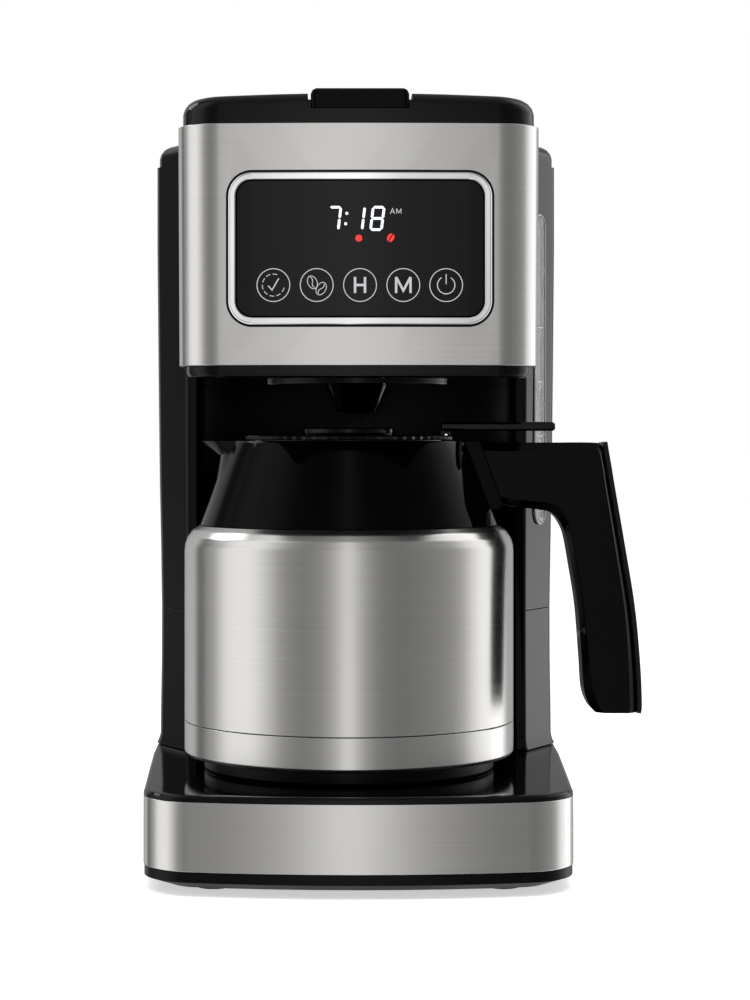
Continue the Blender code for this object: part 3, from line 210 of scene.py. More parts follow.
# Carafe lid
CUP_PROFILE = ((46.0, 186.0), (46.0, 189.7), (44.8, 189.7), (44.8, 193.3), (46.0, 193.3), (46.0, 203.2),
               (43.8, 203.2), (43.8, 194.0), (42.6, 193.3), (42.6, 189.0), (42.0, 188.4))
GASKET_PROFILE = ((45.1, 190.0), (47.4, 190.0), (48.2, 191.5), (47.4, 193.0), (45.1, 193.0))
LID_TOP_LEVELS = ((46.5, 203.5), (46.5, 204.0), (50.0, 204.2), (50.0, 205.6), (49.0, 206.2), (24.5, 206.6),
                  (22.6, 207.4), (22.6, 209.3), (22.0, 209.8), (19.5, 209.8), (17.5, 206.0), (8.0, 204.8),
                  (6.5, 203.5))
LID_TEETH = 60
TOOTH_DEPTH = 0.9
LEVER_BAR = ((41.0, 95.5), (208.4, 212.7))
LEVER_HALF = 8.0
LEVER_ROOT_HALF = 3.6
LEVER_ROOT = ((41.6, 208.9), (45.2, 208.9), (45.2, 205.4), (43.6, 203.9), (29.5, 202.4), (29.5, 204.4),
              (40.4, 205.4), (40.4, 207.8))
LEVER_AXIS = (42.8, 206.4)
LEVER_PIN_RADIUS = 0.9
LEVER_PIN_HOLE = ((1.2, -9.0), (1.2, 9.0))
EAR_HALF = 1.6
EAR_CENTRE = 5.9
EAR_TOP = 208.0
EAR_X = (40.8, 44.4)
LEVER_SLOT = ((28.8, 52.0), 4.0)
VALVE_X = 31.5
VALVE_PROFILE = ((5.4, 188.9), (5.8, 189.8), (5.4, 191.0), (2.0, 191.6), (2.0, 202.1))
POUR_HOLE_RADIUS = 4.6

# Water path and electrics
HEATER_RADIUS = 48.0
HEATER_MIDDLE_Y = 20.0
HEATER_Z = 26.0
HEATER_LEG = 76.0
HEATER_TUBE = (6.5, 4.0)
HOSE_TUBE = (4.5, 3.0)
FEED_X = 60.0
FEED_Y = 118.0
RISER_X = -87.5
RISER_Y = 112.0
CHECK_VALVE_Z = (72.0, 90.0)
BRACKET_PROFILE = ((-24.0, 4.8), (24.0, 4.8), (24.0, 6.4), (12.0, 6.4), (12.0, 19.1), (-12.0, 19.1),
                   (-12.0, 6.4), (-24.0, 6.4))
BRACKET_HALF = 7.0
THERMOSTAT_PROFILE = ((8.0, 32.9), (8.0, 37.0), (5.0, 37.0), (5.0, 40.0))
FUSE_PROFILE = ((2.0, 38.0), (2.4, 39.0), (2.4, 51.0), (2.0, 52.0))
FUSE_Z = 36.0
CONTROL_BOARD = ((-52.0, 53.0), (-87.1, -85.5), (259.0, 319.0))
DISPLAY_MODULE = ((-14.0, 34.0), (-93.4, -87.4), (284.0, 316.0))
POWER_BOARD = ((-55.0, 35.0), (134.0, 135.6), (50.0, 112.0))
TUBE_SEGMENTS = 20

LOOP = "loop"
FLAT = "flat"
MIRRORED = "mirrored"
STRIP = "strip"

pad_low, pad_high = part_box("rest_pad")
SHIFT = Vector(((pad_low.x + pad_high.x) / 2 / MM - CARAFE_X, (pad_low.y + pad_high.y) / 2 / MM, 0.0))


def round_path(corners):
    """An open path through (x, y, radius) corners, each corner rounded by its radius."""
    path = []
    for index, (x, y, radius) in enumerate(corners):
        if radius == 0:
            path.append((x, y))
            continue
        here = Vector((x, y))
        back = (Vector(corners[index - 1][:2]) - here).normalized()
        ahead = (Vector(corners[index + 1][:2]) - here).normalized()
        half_angle = back.angle(ahead) / 2
        turn = math.pi - 2 * half_angle
        centre = here + (back + ahead).normalized() * radius / math.sin(half_angle)
        start = here + back * radius / math.tan(half_angle) - centre
        left_turn = back.x * ahead.y < back.y * ahead.x
        steps = max(1, round(math.degrees(turn) / ARC_STEP))
        for step in range(steps + 1):
            angle = (turn if left_turn else -turn) * step / steps
            path.append(tuple(centre + Matrix.Rotation(angle, 2) @ start))
    return path


def mirrored(half):
    """A closed outline from its right half, which starts and ends on the centre line."""
    return half + [(-x, y) for x, y in reversed(half[1:-1])]


def offset(path, distance, closed=True):
    """The path moved to its left by the distance, which is inwards for an outline."""
    moved = []
    last = len(path) - 1
    for index, point in enumerate(path):
        here = Vector(point)
        arriving = here - Vector(path[index - 1])
        leaving = Vector(path[(index + 1) % len(path)]) - here
        if not closed and index == 0:
            arriving = leaving
        if not closed and index == last:
            leaving = arriving
        first = Vector((-arriving.y, arriving.x)).normalized()
        second = Vector((-leaving.y, leaving.x)).normalized()
        moved.append(tuple(here + (first + second) * distance / (1 + first.dot(second))))
    return moved


def at_height(outline, z):
    return [(x, y, z) for x, y in outline]


def strip_ring(path, thickness, z):
    """Ring round a wall that follows an open path."""
    return at_height(path + offset(path, thickness, closed=False)[::-1], z)


def base_outline(inset):
    half = [(x, BASE_FRONT + x * x / (2 * BASE_BOW_RADIUS)) for x in BASE_BOW_STATIONS]
    return offset(mirrored(half + round_path((half[-1] + (0.0,),) + BASE_REST)[1:]), inset)


def tower_path(half_width, flare):
    """The outer face of the tower, from the right column round the back to the left column."""
    half = round_path(((TOWER_INNER, TOWER_FRONT, 0.0), (86.3, TOWER_FRONT + 0.6, 3.0),
                       (TOWER_HALF - 1.4, 88.4, 14.0), (TOWER_HALF, TOWER_BACK, 18.0),
                       (0.0, TOWER_BACK, 0.0)))
    stretch = (half_width - TOWER_INNER) / (TOWER_HALF - TOWER_INNER)
    half = [(x + max(0.0, x - TOWER_INNER) * (stretch - 1), y) for x, y in half]
    path = half + [(-x, y) for x, y in reversed(half[:-1])]
    outside = offset(path, -flare, closed=False)
    return [(x, min(y, TOWER_BACK)) for x, y in outside]


def bay_curve(grow):
    """The concave wall behind the carafe, from right to left."""
    points = []
    for step in range(BAY_STEPS + 1):
        angle = math.pi * step / BAY_STEPS
        points.append(((BAY_HALF + grow) * math.cos(angle),
                       BAY_CENTRE + (BAY_DEPTH + grow) * math.sin(angle)))
    return points


def head_front_y(x):
    return HEAD_FRONT + x * x / (2 * HEAD_BOW_RADIUS)


def head_side_half():
    """The right half of the head's front and side, from the centre line to the tower."""
    half = [(x, head_front_y(x)) for x in HEAD_BOW_STATIONS]
    corner = (HEAD_HALF, head_front_y(HEAD_HALF) - 0.8, HEAD_CORNER)
    return half + round_path((half[-1] + (0.0,), corner, (HEAD_HALF, TOWER_FRONT - GAP, 0.0)))[1:]


def bucket_outline(inset):
    """The closed plan of the head moulding: its front, its sides and the bay curve at the back."""
    bay = bay_curve(0.4)[1: BAY_STEPS // 2 + 1]
    return offset(mirrored(head_side_half() + bay), inset)


def cover_outline(inset):
    """The closed plan of the lid and the rear cap together."""
    front = [(x, COVER_FRONT + x * x / (2 * HEAD_BOW_RADIUS)) for x in HEAD_BOW_STATIONS]
    rear = [(x, COVER_BACK - x * x / (2 * COVER_BACK_BOW), 0.0) for x in reversed(HEAD_BOW_STATIONS)]
    rest = ((COVER_HALF, COVER_FRONT + 2.9, COVER_CORNER), (COVER_HALF, 56.6, 2.0), (85.2, 59.0, 0.0),
            (102.6, 88.6, 14.0), (104.0, COVER_BACK - 1.0, 18.0))
    return offset(mirrored(front + round_path((front[-1] + (0.0,),) + rest + tuple(rear))[1:]), inset)


def cover_foot(inset):
    """The bottom edge of the cover, which sits a little higher over the tower than over the head."""
    ring = []
    for x, y in cover_outline(inset):
        over_head = y < TOWER_FRONT - 1.0 and abs(x) < COVER_HALF + 0.5
        ring.append((x, y, COVER_BOTTOM if over_head else COVER_REAR_BOTTOM))
    return ring


def rounded_rectangle(middle, half, corner):
    """A closed outline, starting at the middle of its right side, with stations along the long sides."""
    side = ((half[0], 0.0, 0.0), (half[0], half[1], corner), (20.0, half[1], 0.0), (0.0, half[1], 0.0))
    quarter = round_path(side)
    upper = quarter + [(-x, z) for x, z in reversed(quarter[:-1])]
    ring = upper + [(x, -z) for x, z in reversed(upper[1:-1])]
    return [(middle[0] + x, middle[1] + z) for x, z in ring]


def cap(first, count, ends):
    """Faces that close a ring: one face, or rows across it where its two halves mirror each other."""
    if ends == FLAT:
        return [tuple(range(first, first + count))]
    if ends == STRIP:
        pairs = [(step, count - 1 - step) for step in range(count // 2)]
        loops = []
    else:
        half = count // 2
        pairs = [(step, count - step) for step in range(2, half - 1)]
        loops = [(0, 1, 2, count - 2, count - 1), (half - 2, half - 1, half, half + 1, half + 2)]
    for (left, right), (next_left, next_right) in zip(pairs[:-1], pairs[1:], strict=True):
        loops.append((left, next_left, next_right, right))
    return [tuple(first + corner for corner in loop) for loop in loops]


def skin(rings, ends):
    """A closed body through rings of equal length. LOOP joins the last ring to the first."""
    count = len(rings[0])
    faces = []
    for row in range(len(rings) if ends == LOOP else len(rings) - 1):
        low = row * count
        high = (row + 1) % len(rings) * count
        for column in range(count):
            after = (column + 1) % count
            faces.append((low + column, low + after, high + after, high + column))
    if ends != LOOP:
        faces += cap(0, count, ends)
        faces += cap((len(rings) - 1) * count, count, ends)
    return [point for ring in rings for point in ring], faces


def circle(centre, radius, segments):
    turns = [2 * math.pi * step / segments for step in range(segments)]
    return [(centre[0] + radius * math.cos(turn), centre[1] + radius * math.sin(turn)) for turn in turns]


def stacked(outline, levels, ends=MIRRORED):
    """A body from one plan, drawn at each level's inset and height."""
    return skin([at_height(outline(inset), z) for inset, z in levels], ends)


def revolve(profile, ends=LOOP, centre=(0.0, 0.0), segments=36):
    """A body turned about a vertical axis from (radius, z) points."""
    return skin([at_height(circle(centre, radius, segments), z) for radius, z in profile], ends)


def cylinder(centre, radius, low, high, segments=24):
    return revolve(((radius, low), (radius, high)), FLAT, centre, segments)


def cylinder_along_x(centre, radius, low, high, segments=16):
    """A cylinder about the line y, z = centre."""
    return skin([[(x, y, z) for y, z in circle(centre, radius, segments)] for x in (low, high)], FLAT)


def turned_along_y(centre, profile, ends=FLAT, segments=24):
    """A turned body about the line x, z = centre, from its (radius, y) profile."""
    return skin([[(x, y, z) for x, z in circle(centre, radius, segments)] for radius, y in profile], ends)


def box(x_range, y_range, z_range, chamfer=0.0):
    """A box with its four upright edges and its top and bottom edges chamfered."""
    rings = []
    low, high = z_range
    levels = ((low, chamfer), (low + chamfer, 0.0), (high - chamfer, 0.0), (high, chamfer))
    for z, shrink in levels if chamfer else ((z_range[0], 0.0), (z_range[1], 0.0)):
        x0 = x_range[0] + shrink
        x1 = x_range[1] - shrink
        y0 = y_range[0] + shrink
        y1 = y_range[1] - shrink
        if chamfer:
            ring = [(x0 + chamfer, y0), (x1 - chamfer, y0), (x1, y0 + chamfer), (x1, y1 - chamfer),
                    (x1 - chamfer, y1), (x0 + chamfer, y1), (x0, y1 - chamfer), (x0, y0 + chamfer)]
        else:
            ring = [(x0, y0), (x1, y0), (x1, y1), (x0, y1)]
        rings.append(at_height(ring, z))
    return skin(rings, FLAT)


def prism_along_y(outline, half):
    """An (x, z) outline pushed out to both sides of the centre plane."""
    return skin([[(x, y, z) for x, z in outline] for y in (-half, half)], FLAT)


def pipe(path, outer, bore, segments=TUBE_SEGMENTS):
    """A hollow pipe along a path, or a solid rod where the bore is zero."""
    points = [Vector(point) for point in path]
    outside = []
    inside = []
    across = None
    for index, here in enumerate(points):
        ahead = (points[min(index + 1, len(points) - 1)] - points[max(index - 1, 0)]).normalized()
        if across is None:
            across = ahead.orthogonal()
        across = (across - ahead * across.dot(ahead)).normalized()
        up = ahead.cross(across)
        turns = [2 * math.pi * step / segments for step in range(segments)]
        spokes = [across * math.cos(turn) + up * math.sin(turn) for turn in turns]
        outside.append([tuple(here + spoke * outer) for spoke in spokes])
        inside.append([tuple(here + spoke * bore) for spoke in spokes])
    if bore == 0:
        return skin(outside, FLAT)
    return skin(outside + inside[::-1], LOOP)


def joined(*shapes):
    """Several separate bodies as one helper shape."""
    points = []
    faces = []
    for more_points, more_faces in shapes:
        faces += [tuple(corner + len(points) for corner in face) for face in more_faces]
        points += more_points
    return points, faces


def both_sides(places):
    return [(side * x, y) for x, y in places for side in (-1, 1)]


def base_screw(place):
    profile = ((2.4, 2.2), (SCREW_HEAD_RADIUS, 2.6), (SCREW_HEAD_RADIUS, 3.2), (SCREW_SHANK_RADIUS, 3.2),
               (SCREW_SHANK_RADIUS, SCREW_TOP - 1.5), (0.6, SCREW_TOP))
    return revolve(profile, FLAT, place, 12)


def tower_shell(levels):
    rings = [strip_ring(tower_path(half_width, flare), TOWER_WALL, z) for z, half_width, flare in levels]
    return skin(rings, STRIP)


def window_outline(shrink):
    """The level window's rounded slot, as (distance along the slanted face, z)."""
    radius = WINDOW_HALF - shrink
    points = []
    for middle, start in ((WINDOW_TOP - WINDOW_HALF, 0), (WINDOW_BOTTOM + WINDOW_HALF, 6)):
        for step in range(7):
            angle = math.pi * (start + step) / 6
            points.append((radius * math.cos(angle), middle + radius * math.sin(angle)))
    return points


def on_window(outline, out):
    """An outline on the window's slanted face, at a distance outside that face."""
    ring = []
    for along, z in outline:
        x = WINDOW_MIDDLE[0] + along * WINDOW_ALONG[0] + out * WINDOW_ALONG[1]
        y = WINDOW_MIDDLE[1] + along * WINDOW_ALONG[1] - out * WINDOW_ALONG[0]
        ring.append((x, y, z))
    return ring


def window_slab(shrink, outer, inner):
    """A slab the shape of the window, between two distances outside the slanted face."""
    return skin([on_window(window_outline(shrink), out) for out in (outer, inner)], FLAT)


def tank_outline(inset):
    """The plan of the water tank, which fills the tower but for the riser's channel on the left."""
    front = [(x, y) for x, y in bay_curve(3.4) if abs(x) < 76.0][::-1]
    right = round_path(((front[-1][0], front[-1][1], 0.0), (87.6, 70.9, 4.0), (98.4, 90.0, 8.0),
                        (98.4, 146.4, 14.0), (-81.5, 146.4, 8.0), (-81.5, 92.0, 6.0),
                        (front[0][0], front[0][1], 0.0)))
    return offset(front + right[1:-1], inset)


def bezel_ring(inset, depth):
    """Ring of the display frame, bent to follow the bow of the head."""
    half = (BEZEL_HALF[0] - inset, BEZEL_HALF[1] - inset)
    ring = rounded_rectangle(BEZEL_MIDDLE, half, BEZEL_CORNER - inset)
    return [(x, head_front_y(x) + depth, z) for x, z in ring]


def cover_body():
    """The lid and rear cap before they are parted: a skirt, a rounded edge and a crowned top."""
    rings = [at_height(cover_outline(inset), z) for inset, z in reversed(COVER_INSIDE)]
    rings += [cover_foot(COVER_INSIDE[0][0]), cover_foot(0.0)]
    rings += [at_height(cover_outline(inset), z) for inset, z in COVER_EDGE]
    points, faces = skin(rings, MIRRORED)
    count = len(rings[0])
    top = len(points) - count
    faces = [face for face in faces if min(face) < top]
    columns = [[top + step for step in range(count // 2 + 1)]]
    for column in range(1, COVER_COLUMNS):
        share = 1 - 2 * column / COVER_COLUMNS
        line = [top]
        for step in range(1, count // 2):
            x, y, z = points[top + step]
            line.append(len(points))
            points.append((x * share, y, z))
        line.append(top + count // 2)
        columns.append(line)
    columns.append([top] + [top + count - step for step in range(1, count // 2)] + [top + count // 2])
    for left, right in zip(columns[:-1], columns[1:], strict=True):
        for step in range(count // 2):
            face = dict.fromkeys((left[step], left[step + 1], right[step + 1], right[step]))
            faces.append(tuple(face))
    edge = (len(COVER_INSIDE) + 2) * count
    return points[:edge] + [crowned(*point) for point in points[edge:]], faces


def crowned(x, y, z):
    """A point of the cover's top edge or top, raised towards the middle."""
    return x, y, z + COVER_CROWN * max(0.0, 1 - (x / COVER_CROWN_HALF) ** 2)


def on_hinge(radius, x_range):
    spans = (x_range, (-x_range[1], -x_range[0]))
    return joined(*[cylinder_along_x((HINGE_Y, HINGE_Z), radius, low, high) for low, high in spans])


def tab_outline(inset):
    front = COVER_FRONT - 0.4
    half = round_path(((0.0, front, 0.0), (TAB_HALF, front, TAB_CORNER), (TAB_HALF, TAB_BACK, TAB_CORNER),
                       (0.0, TAB_BACK, 0.0)))
    return offset([(TAB_MIDDLE + x, y) for x, y in mirrored(half)], inset)


def liner_outline():
    half = round_path(((0.0, -90.0, 0.0), (75.0, -90.0, 14.0), (75.0, 58.0, 2.0), (80.0, 60.0, 2.0),
                       (98.0, 90.0, 10.0), (98.0, 114.5, 2.0), (0.0, 114.5, 0.0)))
    return mirrored(half)


def collar_ring(radius, z, reach):
    """Ring of the collar. The reach pulls it out to a V at the spout."""
    ring = []
    for step in range(CARAFE_SEGMENTS):
        angle = 360.0 * step / CARAFE_SEGMENTS
        share = max(0.0, 1 - abs(angle - 180.0) / SPOUT_HALF_ANGLE)
        far = radius + reach * share
        turn = math.radians(angle)
        ring.append((CARAFE_X + far * math.cos(turn), far * math.sin(turn), z))
    return ring


def handle_ring(outer, inner, half, chamfer):
    """Eight-sided section of the handle between its outer and inner edge."""
    across = Vector((outer[0] - inner[0], outer[1] - inner[1])).normalized() * chamfer
    low = (inner[0] + across.x, inner[1] + across.y)
    high = (outer[0] - across.x, outer[1] - across.y)
    narrow = half - chamfer
    return [(inner[0], -narrow, inner[1]), (low[0], -half, low[1]), (high[0], -half, high[1]),
            (outer[0], -narrow, outer[1]), (outer[0], narrow, outer[1]), (high[0], half, high[1]),
            (low[0], half, low[1]), (inner[0], narrow, inner[1])]


def handle_strip_rings():
    """Sections of the strip that covers the outer edge of the handle."""
    path = (STRIP_TOP, *HANDLE_OUTER[STRIP_START:])
    near = offset(path, GAP, closed=False)
    far = offset(path, STRIP_THICK, closed=False)
    rings = []
    for inner, outer in zip(near, far, strict=True):
        rings.append([(inner[0], -STRIP_HALF, inner[1]), (outer[0], 1.8 - STRIP_HALF, outer[1]),
                      (outer[0], STRIP_HALF - 1.8, outer[1]), (inner[0], STRIP_HALF, inner[1])])
    return rings


def lid_top_ring(radius, z):
    """Ring of the carafe lid's top, toothed where it is widest."""
    toothed = radius >= 49.5
    ring = []
    for step in range(2 * LID_TEETH):
        turn = math.pi * step / LID_TEETH
        far = radius - (TOOTH_DEPTH if toothed and step % 2 else 0.0)
        ring.append((CARAFE_X + far * math.cos(turn), far * math.sin(turn), z))
    return ring


def softened(corners, radius):
    """A closed profile with each of its corners rounded, by less where the sides beside it are short."""
    rounded = []
    for index, point in enumerate(corners):
        here = Vector(point)
        back = Vector(corners[index - 1]) - here
        ahead = Vector(corners[(index + 1) % len(corners)]) - here
        turn = math.pi - back.angle(ahead)
        reach = 0.42 * min(back.length, ahead.length)
        rounded.append((*point, min(radius, reach / math.tan(turn / 2)) if turn > 0.07 else 0.0))
    seam = tuple((Vector(corners[-1]) + Vector(corners[0])) / 2)
    return round_path([(*seam, 0.0), *rounded, (*seam, 0.0)])[:-1]


def smooth_rows(rows):
    """Rows of numbers with a smooth curve's rows added between them."""
    dense = []
    for index in range(len(rows) - 1):
        a = Vector(rows[max(index - 1, 0)])
        b = Vector(rows[index])
        c = Vector(rows[index + 1])
        d = Vector(rows[min(index + 2, len(rows) - 1)])
        for step in range(SMOOTH_STEPS):
            t = step / SMOOTH_STEPS
            dense.append(tuple(b + (c - a) * t / 2 + (a - b * 2.5 + c * 2 - d / 2) * t ** 2
                               + (b * 1.5 - a / 2 - c * 1.5 + d / 2) * t ** 3))
    return dense + [tuple(rows[-1])]


SHELL_PROFILE = softened(SHELL_PROFILE, 4.0)
BAND_PROFILE = softened(BAND_PROFILE, 1.5)
HANDLE_OUTER = smooth_rows(HANDLE_OUTER)
HANDLE_INNER = smooth_rows(HANDLE_INNER)
STRIP_START *= SMOOTH_STEPS


# Materials


def principled(name, specular=0.5):
    material = bpy.data.materials.new(name)
    material.use_nodes = True
    shader = material.node_tree.nodes["Principled BSDF"]
    shader.inputs["Specular IOR Level"].default_value = specular
    return material, material.node_tree, shader


def fed(node, inputs):
    """Sets a node's inputs, linking those that are given as another node's output."""
    for name, value in inputs.items():
        if isinstance(value, bpy.types.NodeSocket):
            node.id_data.links.new(value, node.inputs[name])
        else:
            node.inputs[name].default_value = value
    return node


def made(tree, kind, inputs, **settings):
    node = tree.nodes.new("ShaderNode" + kind)
    for name, value in settings.items():
        setattr(node, name, value)
    return fed(node, inputs)


def noise(tree, scale, detail):
    """A noise texture over the piece, stretched by the scale, which is in waves a metre."""
    place = made(tree, "TexCoord", {}).outputs["Object"]
    stretched = made(tree, "Mapping", {"Scale": scale, "Vector": place}).outputs["Vector"]
    return made(tree, "TexNoise", {"Scale": 1.0, "Detail": detail, "Vector": stretched}).outputs["Fac"]


def spread(tree, value, low, high, start=0.3, end=0.7):
    """The value's range from start to end, spread over low to high."""
    limits = {"From Min": start, "From Max": end, "To Min": low, "To Max": high, "Value": value}
    return made(tree, "MapRange", limits).outputs["Result"]


def tinted(tree, value, dark, light):
    colours = {"A": (*dark, 1.0), "B": (*light, 1.0), "Factor": value}
    return made(tree, "Mix", colours, data_type="RGBA").outputs["Result"]


def add_up(tree, first, second):
    return made(tree, "Math", {0: first, 1: second}, operation="ADD").outputs["Value"]


def bump(tree, shader, height, distance, strength):
    relief = made(tree, "Bump", {"Strength": strength, "Distance": distance, "Height": height})
    fed(shader, {"Normal": relief.outputs["Normal"]})


def scaled(colour, factor, lift=0.0):
    return tuple(value * factor + lift for value in colour)


def brushed(name, colour, grain, roughness):
    """Metal brushed along the long direction of the grain, with uneven gloss and a few deeper lines."""
    material, tree, shader = principled(name)
    tangent = made(tree, "Tangent", {}, direction_type="RADIAL", axis="Z")
    fine = noise(tree, grain, 6.0)
    broad = noise(tree, tuple(value / 6 for value in grain), 3.0)
    cloud = noise(tree, (14.0, 14.0, 14.0), 2.0)
    lines = add_up(tree, spread(tree, fine, 0.0, 0.7), spread(tree, broad, 0.0, 0.3))
    gloss = add_up(tree, spread(tree, lines, *roughness, 0.0, 1.0), spread(tree, cloud, -0.02, 0.03))
    fed(shader, {"Metallic": 1.0, "Anisotropic": 0.65, "Anisotropic Rotation": 0.25,
                 "Tangent": tangent.outputs["Tangent"], "Roughness": gloss,
                 "Base Color": tinted(tree, lines, scaled(colour, 0.95), scaled(colour, 1.03))})
    bump(tree, shader, lines, 0.000004, 0.25)
    return material


def polished(name, colour, metallic, roughness, specular=0.5):
    """A glossy finish with faint smears and hairline scratches in its gloss."""
    material, tree, shader = principled(name, specular)
    smear = noise(tree, (22.0, 22.0, 12.0), 3.0)
    scratch = noise(tree, (900.0, 40.0, 500.0), 5.0)
    swell = noise(tree, (24.0, 24.0, 24.0), 1.0)
    gloss = add_up(tree, spread(tree, smear, *roughness), spread(tree, scratch, 0.0, 0.05, 0.58, 0.8))
    tint = tinted(tree, spread(tree, smear, 0.0, 1.0), colour, scaled(colour, 1.25, 0.0005))
    fed(shader, {"Metallic": metallic, "Roughness": gloss, "Base Color": tint})
    bump(tree, shader, swell, 0.00002, 0.1)
    return material


def textured(name, colour, roughness, grain=1500.0, depth=0.00006, transmission=0.0, specular=0.5):
    """A moulded finish with a fine spark-eroded grain, a little lighter along worn edges."""
    material, tree, shader = principled(name, specular)
    fine = noise(tree, (grain, grain, grain), 3.0)
    smear = noise(tree, (30.0, 30.0, 30.0), 3.0)
    edges = made(tree, "NewGeometry", {}).outputs["Pointiness"]
    shade = add_up(tree, spread(tree, smear, 0.0, 0.25), spread(tree, edges, 0.0, 0.6, 0.52, 0.62))
    gloss = add_up(tree, spread(tree, smear, *roughness), spread(tree, fine, -0.04, 0.04))
    fed(shader, {"Transmission Weight": transmission, "Roughness": gloss,
                 "Base Color": tinted(tree, shade, colour, scaled(colour, 1.6, 0.003))})
    bump(tree, shader, fine, depth, 0.4)
    return material


def clear_moulding(name, colour, roughness):
    """A clear plastic with faint smears in its gloss and tint."""
    material, tree, shader = principled(name)
    smear = noise(tree, (40.0, 40.0, 25.0), 3.0)
    fed(shader, {"Transmission Weight": 0.92, "IOR": 1.45, "Roughness": spread(tree, smear, *roughness),
                 "Base Color": tinted(tree, smear, colour, scaled(colour, 1.05))})
    return material


def glowing(name, colour, strength):
    """A mark that glows on the glass, a little uneven as a diffused lamp is: a lamp behind the glass for the
    display and its lamps, and a painted glow for printed marks.
    """
    material, tree, shader = principled(name)
    glow = spread(tree, noise(tree, (260.0, 260.0, 260.0), 2.0), 0.0, 1.0)
    dim = scaled(colour, 0.86)
    fed(shader, {"Roughness": 0.4, "Emission Strength": strength, "Base Color": (*dim, 1.0),
                 "Emission Color": tinted(tree, glow, dim, colour)})
    return material


BLACK_GLOSS = polished("gloss_black", (0.0014, 0.0014, 0.0016), 0.0, (0.04, 0.09), specular=0.2)
BLACK_MATTE = textured("satin_black", (0.0018, 0.0018, 0.002), (0.24, 0.34), specular=0.14)
BLACK_SATIN = polished("handle_black", (0.0012, 0.0012, 0.0014), 0.0, (0.1, 0.17), specular=0.08)
BLACK_DEEP = polished("deep_black", (0.0011, 0.0011, 0.0013), 0.0, (0.03, 0.07), specular=0.06)
STEEL = brushed("brushed_steel", (0.66, 0.65, 0.635), (3.0, 3.0, 3400.0), (0.2, 0.27))
CHROME = polished("chrome", (0.80, 0.80, 0.81), 1.0, (0.05, 0.1))
ALUMINIUM = brushed("drawn_aluminium", (0.7, 0.7, 0.71), (900.0, 900.0, 900.0), (0.3, 0.42))
DARK_GLASS = polished("panel_glass", (0.0016, 0.0016, 0.002), 0.0, (0.03, 0.06), specular=0.25)
CLEAR = clear_moulding("clear_plastic", (0.86, 0.89, 0.9), (0.04, 0.1))
RUBBER = textured("rubber", (0.018, 0.018, 0.018), (0.7, 0.85), 700.0, 0.0001)
SILICONE = textured("silicone", (0.7, 0.7, 0.68), (0.4, 0.55), 900.0, 0.00005, 0.25)
BOARD_GREEN = textured("solder_mask", (0.012, 0.1, 0.04), (0.35, 0.5), 400.0, 0.0001)
BRASS_MESH = brushed("gold_mesh", (0.72, 0.53, 0.22), (1800.0, 1800.0, 1800.0), (0.25, 0.4))
WHITE_GLOW = glowing("lit_white", (0.86, 0.93, 1.0), 1.05)
# Printed grey marks that glow by themselves: painted light, since the print is no lamp.
DIM_GLOW = glowing("printed_grey_painted_glow", (0.55, 0.56, 0.58), 0.6)
RED_GLOW = glowing("lit_red", (1.0, 0.035, 0.03), 0.95)
# The lip round the level window is real; its opaque light grey is a painted highlight for the bright edges of
# clear plastic.
FRAME_PAINTED_HIGHLIGHT = polished("window_edge_painted_highlight", (0.42, 0.42, 0.43), 0.0, (0.05, 0.12))
PRINT_WHITE = textured("printed_white", (0.6, 0.6, 0.6), (0.4, 0.5))


# Pieces


def mesh_object(name, shape):
    points, faces = shape
    mesh = bpy.data.meshes.new(name)
    mesh.from_pydata([(Vector(point) + SHIFT) * MM for point in points], [], faces)
    work = bmesh.new()
    work.from_mesh(mesh)
    bmesh.ops.recalc_face_normals(work, faces=work.faces)
    work.to_mesh(mesh)
    work.free()
    obj = bpy.data.objects.new(name, mesh)
    bpy.context.collection.objects.link(obj)
    return obj


PIECES = []


def add(name, body, finish, shape):
    """A piece that rides on a body and stands for the CAD node of its name, where there is one."""
    obj = mesh_object(name + "_look", shape)
    obj.data.materials.append(finish)
    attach(obj, body)
    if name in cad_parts:
        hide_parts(name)
    PIECES.append(obj)
    return obj


def combine(target, name, operation, shape):
    """Applies one Boolean to a piece."""
    helper = mesh_object("helper", shape)
    modifier = target.modifiers.new(name, "BOOLEAN")
    modifier.operation = operation
    modifier.solver = "EXACT"
    modifier.object = helper
    graph = bpy.context.evaluated_depsgraph_get()
    result = bpy.data.meshes.new_from_object(target.evaluated_get(graph))
    target.modifiers.clear()
    target.data = result
    bpy.data.objects.remove(helper, do_unlink=True)


def finish_edges(obj):
    """Rounds a piece's sharp edges and shades its curved faces smooth."""
    bevel = obj.modifiers.new("edges", "BEVEL")
    bevel.width = EDGE_ROUND * MM
    bevel.segments = 2
    bevel.limit_method = "ANGLE"
    bevel.angle_limit = math.radians(EDGE_ANGLE)
    bevel.use_clamp_overlap = True
    bevel.harden_normals = False
    obj.data.shade_smooth()
    obj.data.set_sharp_from_angle(angle=math.radians(SHARP_ANGLE))
    obj.modifiers.new("normals", "WEIGHTED_NORMAL").keep_sharp = True


